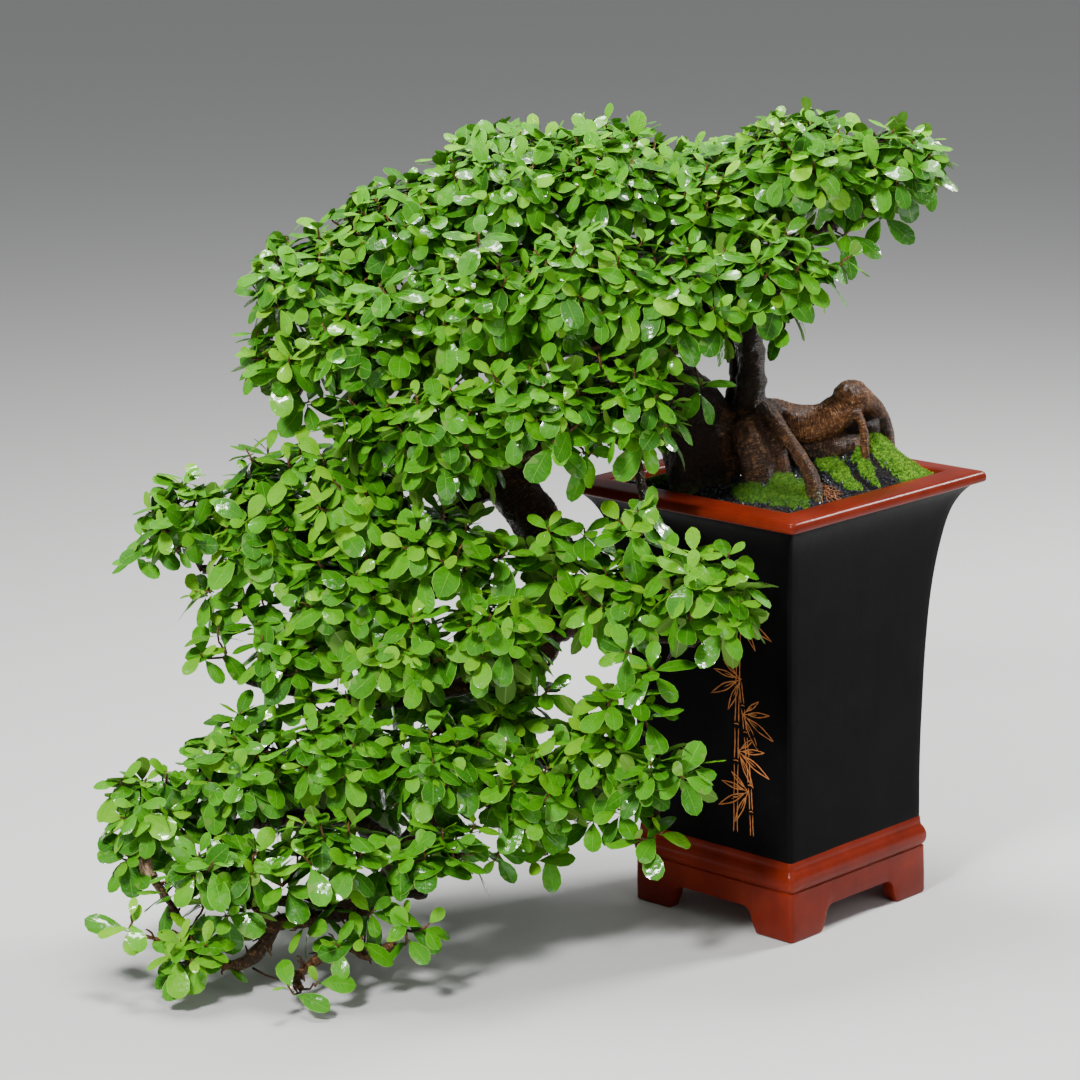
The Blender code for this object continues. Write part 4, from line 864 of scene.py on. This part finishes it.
def nearest_samples(points, lines):
    """For each point the radius and tone of the nearest limb, allowing for its girth, and the place on it."""
    samples = [(line, np.stack([radii, tone], 1), np.stack(directions(line), 1), run_along(line) + number)
               for number, (line, radii, tone) in enumerate(lines.values())]
    spots, facts, ways, starts = (np.concatenate(part) for part in zip(*samples))
    tree = KDTree(len(spots))
    for i, spot in enumerate(spots):
        tree.insert(spot, i)
    tree.balance()
    best = np.array([min(tree.find_n(spot, 6), key=lambda hit: hit[2] - facts[hit[1]][0])[1]
                     for spot in points])
    place = np.einsum("ijk,ik->ij", ways[best], points - spots[best])
    place[:, 0] += starts[best]
    return facts[best], place


def bark_relief(points, normals, facts, place, strength):
    """Points moved by wrinkles across the limb, ribs and knobs, and the relief's height for the colours."""
    radius = facts[:, 0]
    knobs = lumps(points, 36.0, 3, 2)
    warp = lumps(points, 120.0, 5, 2)
    wrinkle = np.sin(place[:, 0] * 1150 + warp * 4.0 + knobs * 3.0)
    grain = lumps(place, 300.0, 9, 2)
    coarse = lumps(points, 75.0, 13, 3)
    height = 0.45 * wrinkle * np.clip(0.6 + coarse, 0.1, 1.3) + 0.8 * grain + 0.4 * coarse
    size = np.clip(radius / 0.02, 0.30, 1.4)
    move = strength * (height * 0.00085 * size + knobs * 0.0030 * size)
    return points + normals * move[:, None], np.clip(height, -1.5, 1.5)


def build_wood(bark):
    lines = wood_lines()
    shapes = [sweep(*lines[name][:2], 28) for name in ("trunk", *ROOTS)]
    for name in ("leader", "front_limb", "tier2_limb", "back_limb"):
        line, radii, _ = lines[name]
        shapes.append(sweep(line[:25], radii[:25], 20))
    points, triangles, normals = remeshed("trunk", shapes, WOOD_VOXEL)
    facts, place = nearest_samples(points, lines)
    points, height = bark_relief(points, normals, facts, place, 1.0)
    moss = np.clip((0.455 - points[:, 2]) * 30, 0, 1) * (np.abs(points[:, 0]) < 0.13)
    trunk = make_piece("trunk", (points, triangles), bark, None,
                       {"bark": np.stack([facts[:, 1], height, moss], 1), "grain": place})
    register(trunk, "bark", "wood")

    limbs = [limb_shape(*lines[name], number, 11) for number, name in enumerate(BRANCHES)]
    points, triangles = joined([limb[:2] for limb in limbs])
    normals, facts, place = (np.concatenate([limb[k] for limb in limbs]) for k in (2, 3, 4))
    points, height = bark_relief(points, normals, facts, place, 0.9)
    moss = np.full(len(points), 0.06)
    limbs = make_piece("limbs", (points, triangles), bark, None,
                       {"bark": np.stack([facts[:, 1], height, moss], 1), "grain": place})
    register(limbs, "bark", "wood")
    return lines


# Foliage


def places_on(pad, inset, share, spacing):
    """Spots spread evenly over a pad's inset outline, with the outward directions there."""
    x, y, z = pad[:3]
    radii = np.maximum((np.array(pad[3:]) - inset) * share, 0.008)
    a, b, c = radii
    area = 4 * math.pi * (((a * b) ** 1.6 + (a * c) ** 1.6 + (b * c) ** 1.6) / 3) ** (1 / 1.6)
    count = max(3, round(area / spacing ** 2))
    level = 1 - 2 * (np.arange(count) + 0.5) / count
    around = rng.uniform(0, math.tau) + np.arange(count) * math.pi * (3 - math.sqrt(5))
    flat = np.sqrt(1 - level ** 2)
    ball = np.stack([flat * np.cos(around), flat * np.sin(around), level], 1)
    spots = np.array([x, y, z]) + ball * radii + dice.uniform(-1, 1, (count, 3)) * spacing * 0.16
    return spots, unit(ball / radii)


def in_pot(points, margin):
    """Which points lie in the pot or so near its wall."""
    x, y, z = points[..., 0], points[..., 1], points[..., 2]
    wall = wall_half(z, [(0.0, 0.108), (0.080, 0.108), *FLARE, (0.432, RIM_HALF), (POT_TOP, RIM_HALF)])
    return (square_reach(x, y) < wall + margin) & (z < POT_TOP + margin)


def loose_shoots(name):
    """The few shoots of a loose sprig, each as (pad, heart, axis, size, shell)."""
    pad = np.array(PADS[name])
    made = []
    count = LOOSE_PADS[name][0]
    for k in range(count):
        angle = rng.uniform(0, 0.6) + k * math.tau / count
        reach = 0.0 if count == 1 else 0.42
        away = np.array([math.cos(angle), 0.5 * math.sin(angle), 0.6 * math.sin(angle)])
        axis = unit(np.array([0.35 * math.cos(angle), -0.55, 0.75]) + dice.normal(0, 0.15, 3))
        made.append((name, pad[:3] + pad[3:] * reach * away, axis, rng.uniform(0.84, 0.96), 0))
    return made


def placed_shoot(heart):
    """One shoot at a given place, which leans away from the pad that it lies nearest to."""
    every = np.array(list(PADS.values()))
    away = (np.array(heart) - every[:, :3]) / every[:, 3:]
    nearest = int(np.argmin((away ** 2).sum(1)))
    axis = unit(unit(away[nearest]) * 0.45 + np.array([0, -0.35, 0.65]) + dice.normal(0, 0.2, 3))
    return list(PADS)[nearest], np.array(heart), axis, rng.uniform(0.82, 0.98), 0


def choose_shoots():
    """Every shoot as (pad, heart, axis, size, shell), outer shell first and then an inner one."""
    names = [name for name in PADS if name not in LOOSE_PADS]
    pads = np.array([PADS[name] for name in names])
    shoots = [shoot for name in LOOSE_PADS for shoot in loose_shoots(name)]
    shoots += [placed_shoot(heart) for heart in MORE_SHOOTS]
    hearts = [shoot[1] for shoot in shoots]
    shells = ((1.0, SHOOT_SPACING, 0.66), (INNER_SHARE, INNER_SPACING, 0.60))
    for shell, (share, spacing, least) in enumerate(shells):
        for number, name in enumerate(names):
            scale = 0.93 if name.startswith("crown") else 1.0
            inset = min(SHOOT_INSET, 0.5 * min(PADS[name][3:]))
            spots, outs = places_on(PADS[name], inset, share, spacing * scale)
            order = list(range(len(spots)))
            rng.shuffle(order)
            for k in order:
                spot, out = spots[k], outs[k]
                if out[2] < FLAT_PADS.get(name, -2) or (out[2] < -0.62 and rng.random() < 0.75):
                    continue
                away = (spot - pads[:, :3]) / (pads[:, 3:] - BURIED_INSET)
                hidden = (away ** 2).sum(1) < 1
                hidden[number] = False
                if shell == 0 and hidden.any():
                    continue
                if in_pot(spot, 0.010) or spot[2] < 0.010:
                    continue
                if np.min(np.linalg.norm(np.array(hearts) - spot, axis=1)) < spacing * scale * least:
                    continue
                hearts.append(spot)
                sway = np.array([rng.gauss(0, 1) for _ in range(3)]) * 0.22
                axis = unit(out * 0.80 + np.array([0, 0, 0.52]) + sway)
                shoots.append((name, spot, axis, scale * rng.uniform(0.88, 1.08), shell))
    return shoots + [placed_shoot(heart) for heart in LAST_SHOOTS]


def leaves_of(shoot):
    """The leaves of one shoot, as rows of start, direction, upward side, length, width, bends and tone."""
    name, heart, axis, size, shell = shoot
    side = unit(np.cross(axis, (0.2, 0.9, 0.4)))
    other = np.cross(axis, side)
    count = rng.choice((6, 7, 7, 8)) if shell == 0 else rng.choice((4, 5))
    if name in LOOSE_PADS:
        count = LOOSE_PADS[name][1]
    spin = rng.uniform(0, math.tau)
    hue = rng.gauss(0, 0.10)
    rows = []
    for k in range(count):
        order = k / (count - 1)
        angle = spin + k * GOLDEN_ANGLE + rng.gauss(0, 0.12)
        outward = side * math.cos(angle) + other * math.sin(angle)
        lean = math.radians(94 - 56 * order ** 1.35 + rng.gauss(0, 8))
        share = (1.0 - 0.46 * order ** 2.2) * rng.uniform(0.82, 1.12) * size
        ahead = axis * math.cos(lean) + outward * math.sin(lean)
        ahead = unit(ahead + np.array([0, 0, -0.12]) * (1 - order))
        above = axis * math.sin(lean) - outward * math.cos(lean)
        above = unit(above + np.array([0, 0, 0.45]))
        above = unit(above - ahead * np.dot(above, ahead))
        start = heart - axis * 0.013 * (1 - order) * size + outward * 0.0008
        tone = 0.37 + hue + 0.36 * order ** 2 + rng.gauss(0, 0.085)
        # Inner leaves darker: painted shade of the crown's inside
        if shell == 1:
            tone -= 0.26
        # Painted light on the leaves of some parts
        tone += PART_PAINTED_LIGHT.get(name.split("_")[0], 0.0)
        if name in LOOSE_PADS:
            tone += 0.12
        if rng.random() < 0.04:
            tone += 0.26
        length = LEAF_LENGTH * share
        width = LEAF_WIDTH * share * rng.uniform(0.86, 1.14)
        rows.append((*start, *ahead, *above, length, width, rng.uniform(0.08, 0.40), rng.uniform(-0.08, 0.26),
                     rng.uniform(-0.25, 0.25), rng.uniform(0, math.tau), min(max(tone, 0.02), 1.0)))
    return rows


def leaf_triangles(grade):
    """Triangles of one closed leaf: its top, and under it a keel that runs to the tip."""
    wide, rows = len(grade[2]), len(grade[0])
    keel, tip = wide * rows, wide * rows + rows
    top, under = [], []
    for row in range(rows - 1):
        for k in range(wide - 1):
            a = row * wide + k
            top += [(a, a + wide, a + wide + 1), (a, a + wide + 1, a + 1)]
        for edge, order in ((row * wide, 1), (row * wide + wide - 1, -1)):
            here, there = keel + row, keel + row + 1
            pair = [(edge, here, there), (edge, there, edge + wide)]
            under += [face[::order] for face in pair]
    last = (rows - 1) * wide
    top += [(last + k, tip, last + k + 1) for k in range(wide - 1)]
    under += [(last, keel + rows - 1, tip), (last + wide - 1, tip, keel + rows - 1)]
    under += [(k, k + 1, keel) for k in range(wide - 1)]
    return np.array(top), np.array(under)


def leaf_points(rows, grade):
    """The points of many leaves at once, and each point's place across, place along and tone."""
    stations, widths, places = grade
    rows = np.asarray(rows)
    start, ahead, above = rows[:, 0:3], rows[:, 3:6], rows[:, 6:9]
    length, width, arch, fold, twist, phase, tone = rows[:, 9:16].T[:, :, None]
    beside = np.cross(ahead, above)
    t = np.array([*np.repeat(stations, len(places)), *stations, 1.0])[None]
    a = np.array([*np.tile(places, len(stations)), *[0.0] * len(stations), 0.0])[None]
    share = np.array([*np.repeat(widths, len(places)), *widths, 0.0])[None]
    lower = np.array([*[0.0] * (len(stations) * len(places)), *[1.0] * len(stations), 0.5])[None]
    half = width / 2 * share
    along = length * t * (1 - 0.10 * arch * t)
    across = half * a
    lift = -length * arch * t ** 2 + fold * half * np.abs(a) - 0.20 * half * a * a
    lift += 0.035 * width * share * np.sin(t * 9 + phase + a) * a * a
    lift += across * twist * t
    lift -= lower * LEAF_THICK * (0.55 + 0.45 * np.sqrt(share))
    points = (start[:, None] + ahead[:, None] * along[..., None] + beside[:, None] * across[..., None]
              + above[:, None] * lift[..., None])
    facts = np.stack(np.broadcast_arrays(a, t, tone), -1)
    return points, facts


def build_leaves(shoots, top_side, under_side):
    templates = [leaf_triangles(grade) for grade in LEAF_GRADES]
    for name in PADS:
        shapes, values, which = [], [], []
        for shell, (top, under) in enumerate(templates):
            chosen = [shoot for shoot in shoots if shoot[0] == name and shoot[4] == shell]
            if not chosen:
                continue
            rows = [row for shoot in chosen for row in leaves_of(shoot)]
            points, facts = leaf_points(rows, LEAF_GRADES[shell])
            fine = (points[..., 2].min(1) > LOWEST_LEAF) & ~in_pot(points, POT_MARGIN).any(1)
            points, facts = points[fine], facts[fine]
            count, size = points.shape[:2]
            template = np.concatenate([top, under])
            triangles = (template[None] + (np.arange(count) * size)[:, None, None]).reshape(-1, 3)
            shapes.append((points.reshape(-1, 3), triangles))
            values.append(facts.reshape(-1, 3))
            which += ([0] * len(top) + [1] * len(under)) * count
        piece = make_piece("leaves_" + name, joined(shapes), [top_side, under_side], 45,
                           {"leaf": np.concatenate(values)}, which)
        register(piece, "banyan_leaf", "spray_" + name)


def grow_twigs(shoots, lines):
    """Twigs from the limbs to every shoot: the line, axis and shell of each, and how many it carries."""
    net = []
    for name, (line, _, _) in lines.items():
        if name not in ROOTS:
            net += list(line[24 if name == "trunk" else 0:])
    wood = np.array(net)
    owner = [-1] * len(net)
    order = sorted(range(len(shoots)), key=lambda i: np.min(np.linalg.norm(wood - shoots[i][1], axis=1)))
    grown, parents, load = [], [], []
    t = np.linspace(0, 1, 6)[:, None]
    for number, i in enumerate(order):
        _, heart, axis, _, shell = shoots[i]
        aim = heart - axis * 0.016
        at = int(np.argmin(np.linalg.norm(np.array(net) - aim, axis=1)))
        root, parent = net[at], owner[at]
        reach = np.linalg.norm(heart - root)
        bend = unit(aim - root + np.array([0, 0, -0.12]) * reach)
        line = ((1 - t) ** 3 * root + 3 * (1 - t) ** 2 * t * (root + bend * reach * 0.38)
                + 3 * (1 - t) * t ** 2 * (heart - axis * min(0.4 * reach, 0.022)) + t ** 3 * heart)
        line[1:-1] += dice.normal(0, 0.0011, (4, 3))
        grown.append((line, axis, shell))
        parents.append(parent)
        load.append(1)
        while parent != -1:
            load[parent] += 1
            parent = parents[parent]
        net += list(line[2:5])
        owner += [number] * 3
    return grown, load


def build_twigs(shoots, lines, bark):
    """Twigs to every shoot, thicker where they carry more, and the bare ones."""
    shapes, facts = [], []
    for (line, axis, shell), count in zip(*grow_twigs(shoots, lines)):
        line[:, 2] = np.maximum(line[:, 2], LOWEST_TWIG)
        line = np.concatenate([line, line[-1:] + axis * 0.002, line[-1:] + axis * 0.0045])
        base = min(0.0013 * count ** 0.40, 0.0042)
        radii = np.concatenate([np.linspace(base, 0.0012, 6), [0.0010, 0.0002]])
        radii[1:6] *= 1 + 0.10 * np.sin(np.arange(5) * 2.4 + count)
        sides = 3 if shell else 4
        shapes.append(sweep(line, radii, sides))
        facts.append([*np.repeat([0, 0.08, 0.20, 0.45, 0.85, 1.0, 1.0, 1.0], sides), 0.0, 1.0])
    for shape, tone in bare_twigs(lines):
        shapes.append(shape)
        facts.append(np.full(len(shape[0]), tone))
    points, triangles = joined(shapes)
    age = np.concatenate(facts)
    values = {"bark": np.stack([age, lumps(points, 300.0, 4, 2), np.zeros(len(age))], 1), "grain": points}
    register(make_piece("twigs", (points, triangles), bark, None, values), "bark")


def bare_twigs(lines):
    """Knobby leafless spurs on the lowest branches and one thin twig that hangs between two of them."""
    made = []
    for name, count in SPURS.items():
        line, radii, _ = lines[name]
        ahead, side, other = directions(line)
        for _ in range(count):
            i = rng.randrange(2, len(line) - 1)
            angle = rng.uniform(0, math.tau)
            way = side[i] * math.cos(angle) + other[i] * math.sin(angle)
            way = unit(way + ahead[i] * rng.uniform(0.1, 0.9))
            reach = rng.uniform(0.004, 0.011) if rng.random() < 0.7 else rng.uniform(0.011, 0.020)
            spur = [line[i] + way * radii[i] * 0.4]
            for _ in range(SPUR_STEPS):
                way = unit(way + dice.normal(0, 0.32, 3))
                spur.append(spur[-1] + way * (radii[i] * 0.6 + reach) / SPUR_STEPS)
            spur = np.array(spur)
            if spur[:, 2].min() < LOWEST_TWIG:
                continue
            widths = np.linspace(min(0.0021, radii[i] * 0.6), 0.0007, SPUR_STEPS + 1)
            shape = sweep(spur, widths * dice.uniform(0.8, 1.25, SPUR_STEPS + 1), 5)
            made.append((shape, rng.uniform(0.25, 0.6)))
    arc = smooth_route(HANGING_TWIG, 5)[0]
    made.append((sweep(arc, np.linspace(0.0013, 0.0008, len(arc)), 5), 0.1))
    return made


# Soil and moss


def moss_share(x, y):
    """How mossy the ground is at a place, from 0 to 1."""
    share = 0.0
    for centre_x, centre_y, half_long, half_wide, turn, weight in MOSS_OVALS:
        cos, sin = math.cos(math.radians(turn)), math.sin(math.radians(turn))
        along = (x - centre_x) * cos + (y - centre_y) * sin
        across = (y - centre_y) * cos - (x - centre_x) * sin
        share += weight * math.exp(-1.2 * ((along / half_long) ** 2 + (across / half_wide) ** 2) ** 1.4)
    return share + 0.46 * wave((x * 85, y * 85, 4.2), 3)


def moss_painted_light(points):
    """Painted light on the moss: full at the right corner, painted shade near the trunk."""
    return np.clip((points[:, 0] - 0.005) / 0.075, 0, 1)


def ground_height(x, y):
    height = 0.0
    for centre_x, centre_y, width, rise in SOIL_MOUNDS:
        height += rise * math.exp(-((x - centre_x) ** 2 + (y - centre_y) ** 2) / width ** 2)
    edge = square_reach(x, y) / SOIL_EDGE_HALF
    height = SOIL_EDGE + height * (1 - min(edge, 1) ** SOIL_EDGE_POWER)
    height += 0.0028 * wave((x * 42, y * 42, 1.7), 3)
    share = min(max((moss_share(x, y) - 0.42) / 0.35, 0), 1)
    return height + 0.0034 * share * share * (3 - 2 * share)


def build_ground(earth, moss):
    wide, half = 113, SOIL_EDGE_HALF - 0.0003
    places = (2 * np.arange(wide) / (wide - 1) - 1) * half
    points = []
    for across in places:
        for along in places:
            x, y, _ = TURN_45 @ Vector((across, along, 0))
            fine = 0.0008 * wave((x * 420, y * 420, 0), 2)
            points.append((x, y, ground_height(x, y) + fine))
    mossy = np.array([moss_share(x, y) for x, y, _ in points])
    points = np.array(points)
    grid = np.arange(wide * wide).reshape(wide, wide)
    a = grid[:-1, :-1].ravel()
    top = np.stack([a, a + wide, a + wide + 1, a, a + wide + 1, a + 1], 1).reshape(-1, 3)
    edge = np.concatenate([grid[:-1, 0], grid[-1, :-1], grid[:0:-1, -1], grid[0, :0:-1]])
    low = len(points) + np.arange(len(edge))
    after, low_after = np.roll(edge, -1), np.roll(low, -1)
    wall = np.stack([edge, after, low_after, edge, low_after, low], 1).reshape(-1, 3)
    under = np.stack([low, low_after, np.full(len(edge), low[-1] + 1)], 1)
    points = np.concatenate([points, points[edge] * (0.935, 0.935, 0) + (0, 0, SOIL_LOW), [(0, 0, SOIL_LOW)]])
    triangles = np.concatenate([top, wall, under])
    which = np.concatenate([mossy[top].mean(1) > 0.5, np.zeros(len(wall) + len(under))])
    light = moss_painted_light(points)
    made = make_piece("ground", (points, triangles[:, ::-1]), [earth, moss], None,
                      {"moss": np.stack([light * 0, light, light], 1)}, which)
    face_outward(made)
    register(made, "soil_and_moss", "soil")


def ground_spot():
    """A random place on the ground, off the wood's feet."""
    reach = SOIL_EDGE_HALF - 0.0022
    spot = TURN_45 @ Vector((rng.uniform(-reach, reach), rng.uniform(-reach, reach), 0))
    return spot.x, spot.y


def build_granules(stone):
    """Loose glassy grains of the soil where no moss covers it."""
    golden = (1 + math.sqrt(5)) / 2
    ball = np.array([(-1, golden, 0), (1, golden, 0), (-1, -golden, 0), (1, -golden, 0), (0, -1, golden),
                     (0, 1, golden), (0, -1, -golden), (0, 1, -golden), (golden, 0, -1), (golden, 0, 1),
                     (-golden, 0, -1), (-golden, 0, 1)]) / math.sqrt(1 + golden ** 2)
    faces = np.array([(0, 11, 5), (0, 5, 1), (0, 1, 7), (0, 7, 10), (0, 10, 11), (1, 5, 9), (5, 11, 4),
                      (11, 10, 2), (10, 7, 6), (7, 1, 8), (3, 9, 4), (3, 4, 2), (3, 2, 6), (3, 6, 8),
                      (3, 8, 9), (4, 9, 5), (2, 4, 11), (6, 2, 10), (8, 6, 7), (9, 8, 1)])
    shapes = []
    while len(shapes) < GRAIN_COUNT:
        x, y = ground_spot()
        if moss_share(x, y) > 0.58 + rng.uniform(-0.12, 0.12):
            continue
        size = rng.uniform(0.0008, 0.0021)
        spin = Matrix.Rotation(rng.uniform(0, math.tau), 3, Vector((rng.gauss(0, 1), rng.gauss(0, 1), 1)))
        grain = ball * (1 + dice.uniform(-0.22, 0.22, (12, 1))) * size * dice.uniform(0.65, 1.15, 3)
        centre = np.array([x, y, ground_height(x, y) + size * 0.35])
        shapes.append((grain @ np.array(spin).T + centre, faces))
    register(make_piece("soil_granules", joined(shapes), stone, 30), "soil_and_moss")


def build_moss_shoots(moss):
    """Short upright shoots that give the moss its pile."""
    shapes = []
    angles = np.arange(3) * math.tau / 3
    while len(shapes) < MOSS_SHOOT_COUNT:
        x, y = ground_spot()
        share = moss_share(x, y)
        if share < 0.50 + rng.uniform(-0.10, 0.10):
            continue
        height = rng.uniform(0.0014, 0.0038) * min(1.0, 0.55 + 0.5 * share)
        width = rng.uniform(0.00028, 0.00048)
        turn = rng.uniform(0, math.tau)
        base = np.array([x, y, ground_height(x, y) - 0.0006])
        ring = base + width * np.stack([np.cos(angles + turn), np.sin(angles + turn), np.zeros(3)], 1)
        tip = base + np.array([rng.gauss(0, 0.0007), rng.gauss(0, 0.0007), height])
        shapes.append((np.concatenate([ring, tip[None]]), ((0, 2, 1), (0, 1, 3), (1, 2, 3), (2, 0, 3))))
    points, triangles = joined(shapes)
    tips = np.tile([0.0, 0.0, 0.0, 1.0], len(shapes))
    values = {"moss": np.stack([tips, moss_painted_light(points), tips], 1)}
    register(make_piece("moss_shoots", (points, triangles), moss, None, values), "moss")


def build_rootlets(bark):
    """Fine orange roots that run out over the soil from the foot of the front root."""
    shapes, facts = [], []
    for _ in range(ROOTLET_COUNT):
        x, y = 0.036 + rng.uniform(-0.006, 0.006), -0.088 + rng.uniform(-0.010, 0.008)
        way = math.radians(rng.gauss(12, 55))
        reach = rng.uniform(0.011, 0.027)
        line = []
        for t in np.linspace(0, 1, 6):
            px = x + math.cos(way) * reach * t + rng.gauss(0, 0.0012)
            py = y + math.sin(way) * reach * t * 0.7 + rng.gauss(0, 0.0012)
            inside = min(1.0, ROOTLET_LIMIT / square_reach(px, py))
            px, py = px * inside, py * inside
            rise = 0.0012 + math.sin(t * math.pi) * rng.uniform(0.001, 0.004)
            line.append((px, py, ground_height(px, py) + rise + (0.006 * (1 - t) ** 2)))
        shape = sweep(line, np.linspace(rng.uniform(0.0004, 0.0006), 0.0003, 6), 5)
        shapes.append(shape)
        facts.append(np.full(len(shape[0]), rng.uniform(0.55, 1.0)))
    points, triangles = joined(shapes)
    tone = np.concatenate(facts)
    values = {"bark": np.stack([tone, tone * 0, tone * 0], 1), "grain": points}
    register(make_piece("rootlets", (points, triangles), bark, None, values), "bark")


# Studio


def build_studio():
    mesh = bpy.data.meshes.new("floor")
    mesh.from_pydata([(-40, -40, 0), (40, -40, 0), (40, 40, 0), (-40, 40, 0)], [], [(0, 1, 2, 3)])
    floor = new_object("floor", mesh)
    mesh.materials.append(Look("studio_floor", Roughness=0.75, Base_Color=(0.62, 0.62, 0.61, 1.0)).made)
    for name, spot, energy, size in LAMPS:
        data = bpy.data.lights.new(name, "AREA")
        data.energy = energy
        data.size = size
        aim = Vector((0.0, 0.0, 0.40)) - Vector(spot)
        new_object(name, data).matrix_world = (Matrix.Translation(spot)
                                               @ aim.to_track_quat("-Z", "Y").to_matrix().to_4x4())
    world = bpy.data.worlds.new("studio")
    world.use_nodes = True
    world.node_tree.nodes["Background"].inputs[0].default_value = (0.80, 0.81, 0.83, 1.0)
    world.node_tree.nodes["Background"].inputs[1].default_value = 0.34
    bpy.context.scene.world = world
    data = bpy.data.cameras.new("camera")
    data.sensor_width = 36
    data.lens = 3592 / 1080 * 36
    camera = new_object("camera", data)
    camera.matrix_world = (Matrix.Translation((AXIS.x - 0.239, AXIS.y - 3.512, 1.233))
                           @ Matrix.Rotation(math.radians(90 - 13.61), 4, "X")
                           @ Matrix.Rotation(math.radians(-1.45), 4, "Z"))
    bpy.context.scene.camera = camera


def main():
    build_studio()
    red = glaze_material("red_brown_glaze",
                         ((0.090, 0.007, 0.003), (0.145, 0.012, 0.004), (0.205, 0.021, 0.006)),
                         0.32, 0.06, 0.12, 0.20)
    black = glaze_material("black_glaze",
                           ((0.0025, 0.0023, 0.0026), (0.0036, 0.0033, 0.0036), (0.0054, 0.0050, 0.0054)),
                           0.34, 0.0, 0.03, 0.18)
    clay = patchy_material("scratched_clay", (0.3, 0.7), ((0.42, 0.13, 0.030), (0.70, 0.27, 0.075)),
                           80.0, 0.75, 900.0, 0.0004)
    bark, shoot, orange = (bark_material(*facts) for facts in (
        ("wet_bark", (0.013, 0.006, 0.004), (0.140, 0.051, 0.017), (0.600, 0.305, 0.105), 0.15),
        ("shoot_bark", (0.030, 0.012, 0.007), (0.210, 0.085, 0.034), (0.360, 0.190, 0.080), 0.12),
        ("rootlet_bark", (0.160, 0.050, 0.018), (0.520, 0.190, 0.060), (0.780, 0.380, 0.150), 0.05)))
    earth = patchy_material("dark_soil", (0.30, 0.52, 0.70),
                            ((0.004, 0.003, 0.003), (0.009, 0.007, 0.006), (0.026, 0.016, 0.010)),
                            60.0, 0.95, 500.0, 0.0025)
    stone = patchy_material("soil_grains", (0.30, 0.52, 0.70),
                            ((0.006, 0.008, 0.013), (0.020, 0.025, 0.038), (0.100, 0.090, 0.085)),
                            50.0, 0.32, 700.0, 0.0006, 0.25)
    mesh_plastic = patchy_material("drain_plastic", (0.30, 0.70),
                                   ((0.010, 0.012, 0.010), (0.030, 0.034, 0.030)), 90.0, 0.55, 600.0, 0.0003)
    moss = moss_material()
    build_pot(black, red, clay)
    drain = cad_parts["drain_mesh"]
    drain.data.materials.clear()
    drain.data.materials.append(mesh_plastic)
    build_ground(earth, moss)
    build_granules(stone)
    build_moss_shoots(moss)
    build_rootlets(orange)
    lines = build_wood(bark)
    shoots = choose_shoots()
    build_leaves(shoots, leaf_material(), leaf_under_material())
    build_twigs(shoots, lines, shoot)


main()
